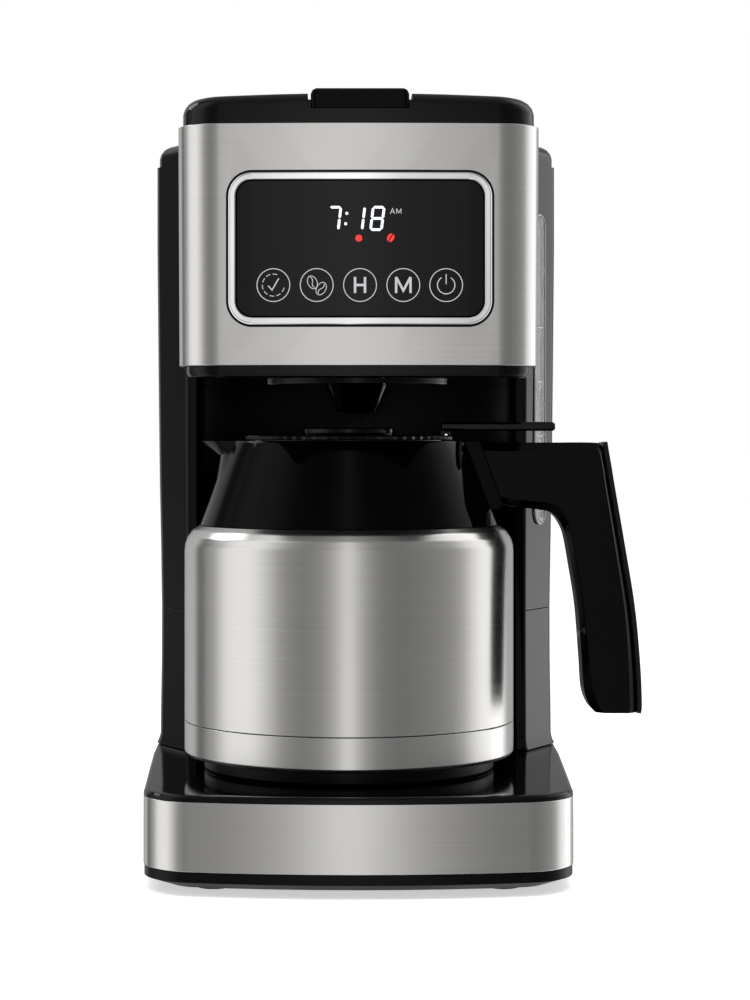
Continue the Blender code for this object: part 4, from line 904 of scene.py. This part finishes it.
def build_base(root):
    sections = ((3.6, DECK_UNDERSIDE), (3.6, BAND_BOTTOM), (BAND_THICK + GAP, BAND_BOTTOM),
                (BAND_THICK + GAP, BAND_TOP + GAP), (0.0, BAND_TOP + GAP), (0.2, DECK_TOP - 1.4),
                (1.0, DECK_TOP - 0.4), (2.6, DECK_TOP))
    shell = add("base_shell", root, BLACK_GLOSS, stacked(base_outline, sections))
    posts = [cylinder(place, POST_RADIUS, 5.0, DECK_TOP - 1.0, 20) for place in both_sides(SCREWS)]
    combine(shell, "posts", "UNION", joined(*posts))
    half, front, back = WIRE_WELL
    bore = SCREW_SHANK_RADIUS + GAP
    bores = [cylinder(place, bore, 4.0, SCREW_TOP + 1.0, 16) for place in both_sides(SCREWS)]
    combine(shell, "wells", "DIFFERENCE", joined(
        *bores,
        box((-half, half), (front, back), (30.0, 60.0)),
        cylinder(CARAFE_AXIS, PAD_RADIUS + GAP, DECK_TOP - PAD_THICK - GAP, 60.0, CARAFE_SEGMENTS),
        turned_along_y((GLAND_X, GLAND_Z), GLAND_HOLE)))

    band = [(0.0, BAND_BOTTOM), (0.0, BAND_TOP), (BAND_THICK, BAND_TOP), (BAND_THICK, BAND_BOTTOM)]
    wrap = add("base_band", root, STEEL, stacked(base_outline, band, LOOP))
    combine(wrap, "gland_hole", "DIFFERENCE", turned_along_y((GLAND_X, GLAND_Z), GLAND_HOLE))

    tray = ((13.0, FOOT_HEIGHT), (0.4, 6.3), (0.4, PLATE_TOP), (3.9, PLATE_TOP), (3.9, 14.0), (5.4, 14.0),
            (5.4, 7.2), (13.0, 4.4))
    plate = add("base_plate", root, BLACK_MATTE, stacked(base_outline, tray))
    half = VENT_LENGTH / 2
    vents = [box((-half, half), (y, y + VENT_WIDTH), (0.0, 8.0)) for y in VENT_STATIONS]
    combine(plate, "openings", "DIFFERENCE", joined(
        *[cylinder(place, FOOT_RADIUS + GAP, 0.0, 3.5) for place in both_sides(FEET)],
        *[revolve(((4.0, 0.0), (4.0, 3.5), (SCREW_SHANK_RADIUS + GAP, 3.5), (SCREW_SHANK_RADIUS + GAP, 8.0)),
                  FLAT, place, 16) for place in both_sides(SCREWS)],
        *vents))

    for index, place in enumerate(both_sides(FEET), 1):
        foot = ((FOOT_RADIUS - 1.0, 0.0), (FOOT_RADIUS, 0.8), (FOOT_RADIUS, 3.2))
        add(f"foot_{index}", root, RUBBER, revolve(foot, FLAT, place, 24))
    for index, place in enumerate(both_sides(SCREWS), 1):
        add(f"base_screw_{index}", root, CHROME, base_screw(place))
    pad = ((PAD_RADIUS, DECK_TOP - PAD_THICK), (PAD_RADIUS, DECK_TOP - 0.3), (PAD_RADIUS - 0.3, DECK_TOP))
    add("rest_pad", root, BLACK_MATTE, revolve(pad, FLAT, CARAFE_AXIS, CARAFE_SEGMENTS))


def build_tower(root):
    add("tower_lower_shell", root, BLACK_GLOSS, tower_shell(LOWER_LEVELS))
    upper = add("tower_upper_shell", root, BLACK_GLOSS, tower_shell(UPPER_LEVELS))
    combine(upper, "window_slot", "DIFFERENCE", window_slab(0.0, 6.0, -6.0))
    add("level_window", root, CLEAR, window_slab(GAP, 0.3, -2.4))

    wall = [at_height(bay_curve(0.0) + bay_curve(BAY_WALL)[::-1], z) for z in (DECK_TOP + GAP, BAY_TOP)]
    add("bay_wall", root, BLACK_MATTE, skin(wall, STRIP))

    tank = ((0.0, TANK_BOTTOM), (0.0, TANK_TOP), (TANK_WALL, TANK_TOP), (TANK_WALL, TANK_BOTTOM + TANK_FLOOR))
    vessel = add("water_tank", root, CLEAR, stacked(tank_outline, tank, FLAT))
    combine(vessel, "outlet", "DIFFERENCE", cylinder((FEED_X, FEED_Y), 4.0, 120.0, 130.0, 16))


def build_head(root):
    shell = ((6.4, 234.5), (6.0, 236.2), (3.9, 239.5), (3.9, FASCIA_TOP), (1.75, FASCIA_TOP), (1.75, 237.0),
             (3.9, 237.0), (3.9, 234.2), (4.7, 232.6), (6.4, HEAD_BOTTOM))
    bucket = add("head_shell", root, BLACK_GLOSS, stacked(bucket_outline, shell))
    half = (BEZEL_HALF[0] + GAP, BEZEL_HALF[1] + GAP)
    hole = rounded_rectangle(BEZEL_MIDDLE, half, BEZEL_CORNER + GAP)
    opening = [[(x, y, z) for x, z in hole] for y in (-110.0, -80.0)]
    combine(bucket, "ports", "DIFFERENCE", joined(
        skin(opening, FLAT), cylinder((0.0, 0.0), PORT_RADIUS, 225.0, 238.0, 48), box(*SPOUT_NOTCH)))

    half = head_side_half()
    path = [(-x, y) for x, y in reversed(half[1:])] + half
    levels = ((FASCIA_BOTTOM, FASCIA_TAPER), (FASCIA_TOP, 0.0))
    sides = [strip_ring(offset(path, taper, closed=False), FASCIA_THICK, z) for z, taper in levels]
    fascia = add("head_fascia", root, STEEL, skin(sides, STRIP))
    combine(fascia, "display_opening", "DIFFERENCE", skin(opening, FLAT))

    bezel = ((0.0, 4.0), (0.0, -0.3), (0.7, -1.0), (3.0, -0.9), (3.7, 0.2), (3.7, 4.0))
    add("display_bezel", root, CHROME, skin([bezel_ring(inset, depth) for inset, depth in bezel], LOOP))
    glass = [bezel_ring(4.0, depth) for depth in (-0.1, 1.9)]
    add("display_glass", root, DARK_GLASS, skin(glass, MIRRORED))
    add("led_module", root, BLACK_MATTE, box(*DISPLAY_MODULE, 0.6))
    add("control_board", root, BOARD_GREEN, box(*CONTROL_BOARD, 0.4))


def build_cover(root, lid):
    far = 200.0
    top = add("lid", lid, BLACK_GLOSS, cover_body())
    combine(top, "rear_cut", "DIFFERENCE", box((-far, far), (LID_REAR, far), (300.0, 400.0)))
    combine(top, "tab_seat", "UNION",
            box((TAB_MIDDLE - 26.0, TAB_MIDDLE + 26.0), (-92.5, TAB_BACK + 3.0), (350.2, 356.0)))
    notch_half = TAB_HALF + NOTCH_SIDE_GAP
    combine(top, "tab_notch", "DIFFERENCE",
            box((TAB_MIDDLE - notch_half, TAB_MIDDLE + notch_half), (-110.0, TAB_BACK + GAP),
                (TAB_BOTTOM - GAP, 370.0)))
    combine(top, "lugs", "UNION", on_hinge(HINGE_RADIUS, HINGE_LUG))
    combine(top, "knuckle_room", "DIFFERENCE",
            on_hinge(HINGE_RADIUS + 0.4, (HINGE_KNUCKLE[0] - 0.2, HINGE_KNUCKLE[1] + 0.4)))
    combine(top, "pin_hole", "DIFFERENCE", on_hinge(PIN_RADIUS + GAP, (50.0, 90.0)))

    cap_piece = add("rear_cap", root, BLACK_GLOSS, cover_body())
    combine(cap_piece, "front_cut", "DIFFERENCE", box((-far, far), (-far, CAP_FRONT), (300.0, 400.0)))
    combine(cap_piece, "gutter_floor", "UNION", box(*GUTTER_FLOOR))
    combine(cap_piece, "hinge_gutter", "DIFFERENCE", box((-far, far), *HINGE_GUTTER))
    combine(cap_piece, "knuckles", "UNION", on_hinge(HINGE_RADIUS, HINGE_KNUCKLE))
    combine(cap_piece, "lug_room", "DIFFERENCE",
            on_hinge(HINGE_RADIUS + 0.4, (HINGE_LUG[0] - 0.4, HINGE_LUG[1] + 0.1)))
    combine(cap_piece, "pin_hole", "DIFFERENCE", on_hinge(PIN_RADIUS + GAP, (50.0, 79.0)))
    for name, side in (("left", -1), ("right", 1)):
        ends = sorted((side * 60.5, side * 78.5))
        add(f"hinge_pin_{name}", root, CHROME, cylinder_along_x((HINGE_Y, HINGE_Z), PIN_RADIUS, *ends))

    tab = ((0.0, TAB_BOTTOM), (0.0, 358.2), (0.8, 360.0), (2.4, TAB_TOP))
    add("lid_tab", lid, BLACK_DEEP, stacked(tab_outline, tab))

    liner = [at_height(liner_outline(), z) for z in (347.7, 349.4)]
    add("lid_liner", lid, BLACK_MATTE, skin(liner, MIRRORED))
    add("shower_plate", lid, STEEL, revolve(SHOWER_PROFILE, FLAT))


def build_brewing(root, drip):
    add("brew_basket", root, BLACK_GLOSS, revolve(BASKET_PROFILE))
    add("mesh_filter", root, BRASS_MESH, revolve(FILTER_PROFILE, FLAT))
    add("drip_stop", drip, BLACK_GLOSS, revolve(DRIP_PROFILE, FLAT, segments=24))
    add("drip_seal", drip, SILICONE, revolve(SEAL_PROFILE, segments=24))
    low, high = SPRING_ENDS
    coil = []
    steps = SPRING_TURNS * SPRING_STATIONS
    for step in range(steps + 1):
        turn = 2 * math.pi * step / SPRING_STATIONS
        rise = low + SPRING_WIRE + (high - low - 2 * SPRING_WIRE) * step / steps
        coil.append((SPRING_RADIUS * math.cos(turn), SPRING_RADIUS * math.sin(turn), rise))
    add("drip_spring", root, STEEL, pipe(coil, SPRING_WIRE, 0.0, 5))


def build_carafe(carafe):
    around = {"centre": CARAFE_AXIS, "segments": CARAFE_SEGMENTS}
    hidden = {"centre": CARAFE_AXIS, "segments": HIDDEN_SEGMENTS}
    add("carafe_shell", carafe, STEEL, revolve(SHELL_PROFILE, **around))
    add("carafe_band", carafe, STEEL, revolve(BAND_PROFILE, **around))
    add("carafe_liner", carafe, STEEL, revolve(LINER_PROFILE, FLAT, **hidden))
    add("carafe_stand", carafe, BLACK_MATTE, revolve(STAND_PROFILE, FLAT, **hidden))
    collar = add("carafe_collar", carafe, BLACK_DEEP,
                 skin([collar_ring(*level) for level in COLLAR_OUTER + COLLAR_INNER], LOOP))
    combine(collar, "handle_boss", "UNION", prism_along_y(BOSS_OUTLINE, BOSS_HALF))
    screw_line = (0.0, HANDLE_SCREW_Z)
    combine(collar, "screw_hole", "DIFFERENCE",
            cylinder_along_x(screw_line, SCREW_SHANK_RADIUS + GAP, 59.0, 75.0))

    rings = [handle_ring(outer, inner, HANDLE_HALF, HANDLE_CHAMFER)
             for outer, inner in zip(HANDLE_OUTER, HANDLE_INNER, strict=True)]
    handle = add("carafe_handle", carafe, BLACK_SATIN, skin(rings, FLAT))
    combine(handle, "screw_hole", "DIFFERENCE",
            cylinder_along_x(screw_line, SCREW_SHANK_RADIUS + GAP, 50.0, 78.0))
    add("handle_strip", carafe, BLACK_GLOSS, skin(handle_strip_rings(), FLAT))
    add("handle_screw", carafe, CHROME, cylinder_along_x(screw_line, SCREW_SHANK_RADIUS, 59.6, 77.0))


def build_carafe_lid(lid, lever):
    around = {"centre": CARAFE_AXIS, "segments": HIDDEN_SEGMENTS}
    base = add("carafe_lid_base", lid, BLACK_MATTE, revolve(CUP_PROFILE, FLAT, **around))
    combine(base, "pour_holes", "DIFFERENCE", joined(
        cylinder((VALVE_X, 0.0), POUR_HOLE_RADIUS, 180.0, 192.0, 20),
        cylinder(CARAFE_AXIS, POUR_HOLE_RADIUS, 180.0, 192.0, 20)))
    add("lid_gasket", lid, SILICONE, revolve(GASKET_PROFILE, **around))
    top = add("carafe_lid_top", lid, BLACK_GLOSS,
              skin([lid_top_ring(*level) for level in LID_TOP_LEVELS], LOOP))
    ears = [box(EAR_X, (side * EAR_CENTRE - EAR_HALF, side * EAR_CENTRE + EAR_HALF), (205.0, EAR_TOP))
            for side in (-1, 1)]
    combine(top, "ears", "UNION", joined(*ears))
    slot_x, slot_half = LEVER_SLOT
    combine(top, "lever_slot", "DIFFERENCE", box(slot_x, (-slot_half, slot_half), (195.0, 220.0)))
    combine(top, "pin_hole", "DIFFERENCE", turned_along_y(LEVER_AXIS, LEVER_PIN_HOLE, segments=12))

    bar = box(LEVER_BAR[0], (-LEVER_HALF, LEVER_HALF), LEVER_BAR[1], 1.0)
    arm = add("lid_lever", lever, BLACK_GLOSS, bar)
    combine(arm, "root", "UNION", prism_along_y(LEVER_ROOT, LEVER_ROOT_HALF))
    combine(arm, "pin_hole", "DIFFERENCE", turned_along_y(LEVER_AXIS, LEVER_PIN_HOLE, segments=12))
    add("lever_pin", lid, CHROME,
        turned_along_y(LEVER_AXIS, ((LEVER_PIN_RADIUS, -7.4), (LEVER_PIN_RADIUS, 7.4)), segments=12))
    add("pour_valve", lever, SILICONE, revolve(VALVE_PROFILE, FLAT, (VALVE_X, 0.0), 24))


def build_water_path(root):
    horseshoe = [(HEATER_RADIUS, HEATER_LEG, HEATER_Z)]
    for step in range(13):
        angle = -math.pi * step / 12
        bend_y = HEATER_MIDDLE_Y + HEATER_RADIUS * math.sin(angle)
        horseshoe.append((HEATER_RADIUS * math.cos(angle), bend_y, HEATER_Z))
    horseshoe.append((-HEATER_RADIUS, HEATER_LEG, HEATER_Z))
    add("heater_tube", root, ALUMINIUM, pipe(horseshoe, *HEATER_TUBE))
    front = HEATER_MIDDLE_Y - HEATER_RADIUS
    sides = (front - BRACKET_HALF, front + BRACKET_HALF)
    add("heater_bracket", root, STEEL, skin([[(x, y, z) for x, z in BRACKET_PROFILE] for y in sides], FLAT))
    add("thermostat", root, BLACK_MATTE, revolve(THERMOSTAT_PROFILE, FLAT, (0.0, front), 24))
    add("thermal_fuse", root, CHROME, turned_along_y((HEATER_RADIUS, FUSE_Z), FUSE_PROFILE, segments=12))

    low, high = CHECK_VALVE_Z
    add("tank_hose", root, SILICONE,
        pipe(((FEED_X, FEED_Y, TANK_BOTTOM - GAP), (FEED_X, FEED_Y, high + GAP)), *HOSE_TUBE))
    valve = ((3.0, low), (5.5, low), (8.5, low + 4.0), (8.5, high - 4.0), (5.5, high), (3.0, high))
    add("check_valve", root, BLACK_MATTE, revolve(valve, LOOP, (FEED_X, FEED_Y), 20))
    feed = ((FEED_X, FEED_Y, low - GAP), (FEED_X, FEED_Y, 45.0), (FEED_X - 1.0, FEED_Y - 4.0, 33.0),
            (FEED_X - 5.0, FEED_Y - 14.0, 27.0), (HEATER_RADIUS, FEED_Y - 30.0, HEATER_Z),
            (HEATER_RADIUS, HEATER_LEG + GAP, HEATER_Z))
    add("feed_hose", root, SILICONE, pipe(feed, *HOSE_TUBE))
    riser = ((-HEATER_RADIUS, HEATER_LEG + GAP, HEATER_Z), (-HEATER_RADIUS, HEATER_LEG + 12.0, HEATER_Z),
             (-58.0, 99.0, HEATER_Z + 2.0), (-80.0, 109.0, 32.0),
             (RISER_X, RISER_Y, 46.0), (RISER_X, RISER_Y, 120.0),
             (RISER_X, RISER_Y, 330.0), (RISER_X + 1.0, RISER_Y - 1.5, 337.0), (-82.0, 105.0, 341.8),
             (-60.0, 84.0, 342.0), (-40.0, 66.0, 341.6), (-33.0, 58.0, 341.0))
    add("riser_tube", root, SILICONE, pipe(riser, *HOSE_TUBE))

    add("power_board", root, BOARD_GREEN, box(*POWER_BOARD, 0.4))
    add("cord_gland", root, RUBBER, turned_along_y((GLAND_X, GLAND_Z), GLAND_PROFILE, LOOP))


# Marks on the touch panel. Each is a thin raised shape on the glass, drawn in X and Z.


def ribbon(path, width):
    """The outline of a stroke of even width along an open path."""
    half = width / 2
    return offset(path, half, closed=False) + offset(path, -half, closed=False)[::-1]


def arc(middle, radius, start, end, steps=24):
    points = []
    for step in range(steps + 1):
        angle = math.radians(start + (end - start) * step / steps)
        points.append((middle[0] + radius * math.cos(angle), middle[1] + radius * math.sin(angle)))
    return points


def ring_mark(middle, radius, width):
    inner = arc(middle, radius - width / 2, 0, 352.5, 47)
    outer = arc(middle, radius + width / 2, 0, 352.5, 47)
    return lift_loop(inner, outer)


def on_glass(point, out):
    """A place on the bowed glass, at a distance in front of it."""
    x, z = point
    return (x, head_front_y(x) - GLASS_OUT - out, z)


def lift_loop(inner, outer):
    """A mark on the glass between two closed outlines."""
    section = ((inner, MARK_BASE), (outer, MARK_BASE), (outer, MARK_DEPTH), (inner, MARK_DEPTH))
    return skin([[on_glass(point, out) for point in path] for path, out in section], LOOP)


def raised(outline):
    """A flat mark on the glass."""
    return skin([[on_glass(point, out) for point in outline] for out in (MARK_BASE, MARK_DEPTH)], FLAT)


def stroke(path, width):
    """A stroke on the glass, built in short spans that follow its curve."""
    edge = ribbon(path, width)
    count = len(path)
    rings = []
    for step in range(count):
        left = edge[step]
        right = edge[2 * count - 1 - step]
        rings.append([on_glass(left, MARK_BASE), on_glass(right, MARK_BASE),
                      on_glass(right, MARK_DEPTH), on_glass(left, MARK_DEPTH)])
    return skin(rings, FLAT)


GLASS_OUT = 0.1
MARK_BASE = 0.02
MARK_DEPTH = 0.09
DIGIT_HEIGHT = 11.1
DIGIT_WIDTH = 6.0
DIGIT_STROKE = 1.15
DIGIT_SLANT = 0.12
SEGMENTS = {"top": ((0, 2), (1, 2)), "upper_right": ((1, 2), (1, 1)), "lower_right": ((1, 1), (1, 0)),
            "bottom": ((0, 0), (1, 0)), "lower_left": ((0, 1), (0, 0)), "upper_left": ((0, 2), (0, 1)),
            "middle": ((0, 1), (1, 1))}
DIGITS = {"1": ("upper_right", "lower_right"),
          "2": ("top", "upper_right", "middle", "lower_left", "bottom"),
          "4": ("upper_left", "middle", "upper_right", "lower_right"),
          "7": ("top", "upper_right", "lower_right"),
          "8": tuple(SEGMENTS)}
ICON_Z = 272.8
ICON_RADIUS = 7.3
ICON_LINE = 0.38
ICON_X = (-38.0, -18.75, 0.47, 19.7, 38.75)


def digit_strokes(digit, left, low, height, width, thick):
    """Seven-segment strokes of one digit, as (path, width) pairs in X and Z."""
    strokes = []
    inner_w = width - thick
    inner_h = (height - thick) / 2
    for name in DIGITS[digit]:
        ends = []
        for across, up in SEGMENTS[name]:
            z = low + thick / 2 + up * inner_h
            ends.append(Vector((left + thick / 2 + across * inner_w + (z - low) * DIGIT_SLANT, z)))
        along = (ends[1] - ends[0]).normalized() * thick * 0.56
        first = ends[0] + along
        last = ends[1] - along
        strokes.append(([tuple(first), tuple(last)], thick))
    return strokes


def pointed(path, width):
    """A segment with pointed ends."""
    start = Vector(path[0])
    end = Vector(path[1])
    along = (end - start).normalized() * width / 2
    side = Vector((-along.y, along.x))
    corners = (start - along, start - side, end - side, end + along, end + side, start + side)
    return [tuple(corner) for corner in corners]


def disc_mark(middle, radius):
    return raised(arc(middle, radius, 0, 345, 23))


def bean(middle, length, tilt):
    """Two halves of a coffee bean, parted by its crease."""
    halves = []
    for side in (-1, 1):
        outline = []
        for step in range(13):
            angle = math.radians(-90 + 180 * step / 12)
            outline.append((side * (0.07 + 0.3 * math.cos(angle)) * length, 0.5 * length * math.sin(angle)))
        halves.append(raised([turned(point, middle, tilt) for point in outline]))
    return joined(*halves)


def turned(point, middle, tilt):
    return tuple(Matrix.Rotation(math.radians(tilt), 2) @ Vector(point) + Vector(middle))


def bean_outline(middle, length, tilt, width=0.34):
    """A coffee bean drawn as a line, with its curved crease."""
    rings = []
    for grow in (-width / 2, width / 2):
        oval = [(math.cos(turn) * (0.34 * length + grow), math.sin(turn) * (0.5 * length + grow))
                for turn in [2 * math.pi * step / 32 for step in range(32)]]
        rings.append([turned(point, middle, tilt) for point in oval])
    rises = [step / 10 - 0.5 for step in range(11)]
    crease = [(math.sin(rise * 6) * 0.09 * length, rise * 0.84 * length) for rise in rises]
    return [lift_loop(*rings), stroke([turned(point, middle, tilt) for point in crease], width)]


def letter(strokes, middle, size, width):
    scaled = [[(middle[0] + x * size, middle[1] + z * size) for x, z in path] for path in strokes]
    return [stroke(path, width) for path in scaled]


LETTER_H = (((-0.31, -0.5), (-0.31, 0.5)), ((0.31, -0.5), (0.31, 0.5)), ((-0.31, 0.0), (0.31, 0.0)))
LETTER_M = (((-0.45, -0.5), (-0.45, 0.5)), ((0.45, -0.5), (0.45, 0.5)),
            ((-0.45, 0.5), (0.0, -0.34), (0.45, 0.5)))
LETTER_A = (((-0.4, -0.5), (0.0, 0.5), (0.4, -0.5)), ((-0.25, -0.15), (0.25, -0.15)))


CLOCK_DIGITS = (("7", -14.7), ("1", -4.1), ("8", 4.5))
CLOCK_LOW = 296.8
COLON = ((-5.9, 300.0), (-5.4, 304.6))
COLON_RADIUS = 0.65
MORNING_Z = 305.6
TICK = ((-2.3, -0.3), (-0.6, -2.2), (2.4, 3.0))
# Section of the black ring round the bezel, as (inset, depth): a painted shadow for the gap round the
# display.
PAINTED_GAP_SHADOW_SECTION = ((-0.25, 0.8), (-0.95, 0.8), (-0.95, -0.05), (-0.25, -0.05))


def build_clock():
    clock = []
    for digit, left in CLOCK_DIGITS:
        for path, width in digit_strokes(digit, left, CLOCK_LOW, DIGIT_HEIGHT, DIGIT_WIDTH, DIGIT_STROKE):
            clock.append(raised(pointed(path, width)))
    clock += [disc_mark(middle, COLON_RADIUS) for middle in COLON]
    add("panel_clock", "housing", WHITE_GLOW, joined(*clock))
    morning = letter(LETTER_A, (14.9, MORNING_Z), 2.4, 0.3) + letter(LETTER_M, (17.7, MORNING_Z), 2.2, 0.3)
    # The AM letters are printed grey with a painted glow.
    add("panel_morning", "housing", DIM_GLOW, joined(*morning))


def build_icons():
    """The touch row: a timer with a tick, strong brew beans, hours, minutes and power."""
    auto, strong, hours, minutes, power = ((x, ICON_Z) for x in ICON_X)
    icons = [ring_mark((x, ICON_Z), ICON_RADIUS, ICON_LINE) for x in ICON_X]
    icons += [stroke(arc(auto, 4.9, start, start + 24, 5), 0.34) for start in range(70, 340, 36)]
    icons.append(stroke([(auto[0] + x, ICON_Z + z) for x, z in TICK], 0.5))
    icons += bean_outline((strong[0] - 1.9, ICON_Z + 1.2), 6.0, 25)
    icons += bean_outline((strong[0] + 2.0, ICON_Z - 1.6), 6.0, -30)
    icons += letter(LETTER_H, hours, 7.1, 1.1) + letter(LETTER_M, minutes, 7.1, 1.05)
    icons.append(stroke(arc(power, 3.9, 122, 418), 0.42))
    icons.append(stroke([(power[0], ICON_Z + 0.4), (power[0], ICON_Z + 4.9)], 0.42))
    # The printed icons carry a painted glow.
    add("panel_icons", "housing", DIM_GLOW, joined(*icons))


def build_panel_marks():
    build_clock()
    build_icons()
    # A black ring over the steel round the bezel: painted shadow standing for the shade in the gap round the
    # display.
    painted_gap_shadow = [bezel_ring(inset, depth) for inset, depth in PAINTED_GAP_SHADOW_SECTION]
    add("bezel_painted_shadow", "housing", BLACK_MATTE, skin(painted_gap_shadow, LOOP))
    lamps = (disc_mark((-0.07, 293.6), 1.5), bean((14.1, 293.8), 3.9, -32))
    add("panel_lamps", "housing", RED_GLOW, joined(*lamps))


# Marks on the level window


LEVELS = (("12", 262.0), ("8", 234.0), ("4", 206.0))
LEVEL_LINE = (3.2, 0.5)
LEVEL_DIGIT = (3.0, 1.7, 0.4)
LEVEL_PITCH = 2.2
LEVEL_DROP = 4.6
PRINT_OUT = (0.32, 0.4)
FRAME_SECTION = ((0.5, 0.32), (-0.3, 0.32), (-0.3, 0.75), (0.0, 0.85), (0.5, 0.75))


def build_window_marks():
    marks = []
    half, thick = LEVEL_LINE
    for number, z in LEVELS:
        strokes = [([(-half, z), (half, z)], thick)]
        left = -LEVEL_PITCH / 2 * len(number)
        for digit in number:
            strokes += digit_strokes(digit, left, z - LEVEL_DROP, *LEVEL_DIGIT)
            left += LEVEL_PITCH
        for path, width in strokes:
            marks.append(skin([on_window(ribbon(path, width), out) for out in PRINT_OUT], FLAT))
    add("window_marks", "housing", PRINT_WHITE, joined(*marks))
    # Lip round the level window, in a light grey that paints the bright edges of clear plastic as a
    # highlight.
    edge = [on_window(window_outline(shrink), out) for shrink, out in FRAME_SECTION]
    add("window_frame", "housing", FRAME_PAINTED_HIGHLIGHT, skin(edge, LOOP))


# Studio

CAMERA_PLACE = (-9.3, -1150.0, 204.0)
CAMERA_LENS = 85.32
CAMERA_SHIFT = (0.037, -0.06)
FLOOR_HALF = 6000.0

# The studio's softboxes and gaps round the horizon, as (degrees to the right of the user's side, brightness).
SKY_BANDS = ((-180, 0.2), (-150, 0.55), (-136, 0.6), (-130, 0.16), (-122, 0.16), (-116, 0.4), (-108, 0.45),
             (-98, 0.95), (-92, 1.15), (-72, 1.2), (-60, 0.85), (-48, 0.4), (-34, 0.26), (-20, 0.33),
             (-9.5, 0.58), (-3, 0.98), (0.5, 1.06), (5, 0.74), (10, 0.48), (20, 0.27), (35, 0.22), (56, 0.27),
             (75, 0.36), (86, 0.55), (95, 1.0), (104, 1.3), (113, 1.4), (120, 1.7), (133, 1.7), (142, 0.5),
             (158, 0.45), (180, 0.2))
SKY_STRENGTH = 2.0


def build_world():
    """Light from the bands round the horizon and a dim ceiling, before a white backdrop."""
    world = bpy.data.worlds.new("studio")
    bpy.context.scene.world = world
    world.use_nodes = True
    tree = world.node_tree
    parts = made(tree, "SeparateXYZ", {"Vector": made(tree, "TexCoord", {}).outputs["Generated"]}).outputs
    back = made(tree, "Math", {0: parts["Y"], 1: -1.0}, operation="MULTIPLY").outputs["Value"]
    turn = made(tree, "Math", {0: parts["X"], 1: back}, operation="ARCTAN2").outputs["Value"]
    ramp = made(tree, "ValToRGB", {"Fac": spread(tree, turn, 0.0, 1.0, -math.pi, math.pi)})
    stops = ramp.color_ramp.elements
    for index, (angle, level) in enumerate(SKY_BANDS):
        position = (angle + 180) / 360
        stop = stops[index] if index < 2 else stops.new(position)
        stop.position = position
        stop.color = (*[level / SKY_STRENGTH] * 3, 1.0)
    above = spread(tree, parts["Z"], 0.0, 1.0, 0.8, 0.97)
    sky = tinted(tree, above, (0.0, 0.0, 0.0), (0.2, 0.2, 0.2))
    fed(sky.node, {"A": ramp.outputs["Color"]})
    seen = made(tree, "LightPath", {}).outputs["Is Camera Ray"]
    white = tinted(tree, seen, (0.0, 0.0, 0.0), (0.5, 0.5, 0.5))
    fed(white.node, {"A": sky})
    fed(tree.nodes["Background"], {"Color": white, "Strength": SKY_STRENGTH})


def area_light(name, place, aim, size, power):
    data = bpy.data.lights.new(name, "AREA")
    data.shape = "RECTANGLE"
    data.size = size[0] * MM
    data.size_y = size[1] * MM
    data.energy = power
    lamp = bpy.data.objects.new(name, data)
    bpy.context.collection.objects.link(lamp)
    lamp.location = (Vector(place) + SHIFT) * MM
    lamp.rotation_euler = (Vector(aim) - Vector(place)).to_track_quat("-Z", "Y").to_euler()
    return lamp


def build_studio():
    build_world()
    top = area_light("top_softbox", (0.0, -300.0, 1500.0), (0.0, 0.0, 200.0), (1400.0, 1000.0), 14.0)
    top.visible_glossy = False
    area_light("side_softbox", (-1500.0, 900.0, 1500.0), (0.0, 0.0, 300.0), (800.0, 800.0), 6.0)
    edge = [(-FLOOR_HALF, -FLOOR_HALF), (FLOOR_HALF, -FLOOR_HALF), (FLOOR_HALF, FLOOR_HALF),
            (-FLOOR_HALF, FLOOR_HALF)]
    floor = mesh_object("floor", skin([at_height(edge, z) for z in (-2.0, -0.02)], FLAT))
    material, tree, shader = principled("floor_white")
    pale = tinted(tree, noise(tree, (3.0, 3.0, 3.0), 2.0), (0.9, 0.9, 0.9), (0.94, 0.94, 0.94))
    fed(shader, {"Roughness": 0.6, "Base Color": pale, "Emission Color": (1.0, 1.0, 1.0, 1.0),
                 "Emission Strength": 0.55})
    floor.data.materials.append(material)
    floor.visible_glossy = False
    floor.visible_diffuse = False
    camera = bpy.data.objects.new("camera", bpy.data.cameras.new("camera"))
    bpy.context.collection.objects.link(camera)
    camera.location = (Vector(CAMERA_PLACE) + SHIFT) * MM
    camera.rotation_euler = (math.radians(90), 0.0, 0.0)
    camera.data.lens = CAMERA_LENS
    camera.data.shift_x, camera.data.shift_y = CAMERA_SHIFT
    bpy.context.scene.camera = camera
    bpy.context.scene.view_settings.view_transform = "Standard"


HOUSING = "housing"
build_base(HOUSING)
build_tower(HOUSING)
build_head(HOUSING)
build_cover(HOUSING, "lid_body")
build_brewing(HOUSING, "drip_stop_body")
build_carafe("carafe")
build_carafe_lid("carafe_lid", "lever")
build_water_path(HOUSING)
for piece in PIECES:
    finish_edges(piece)
build_panel_marks()
build_window_marks()
build_studio()
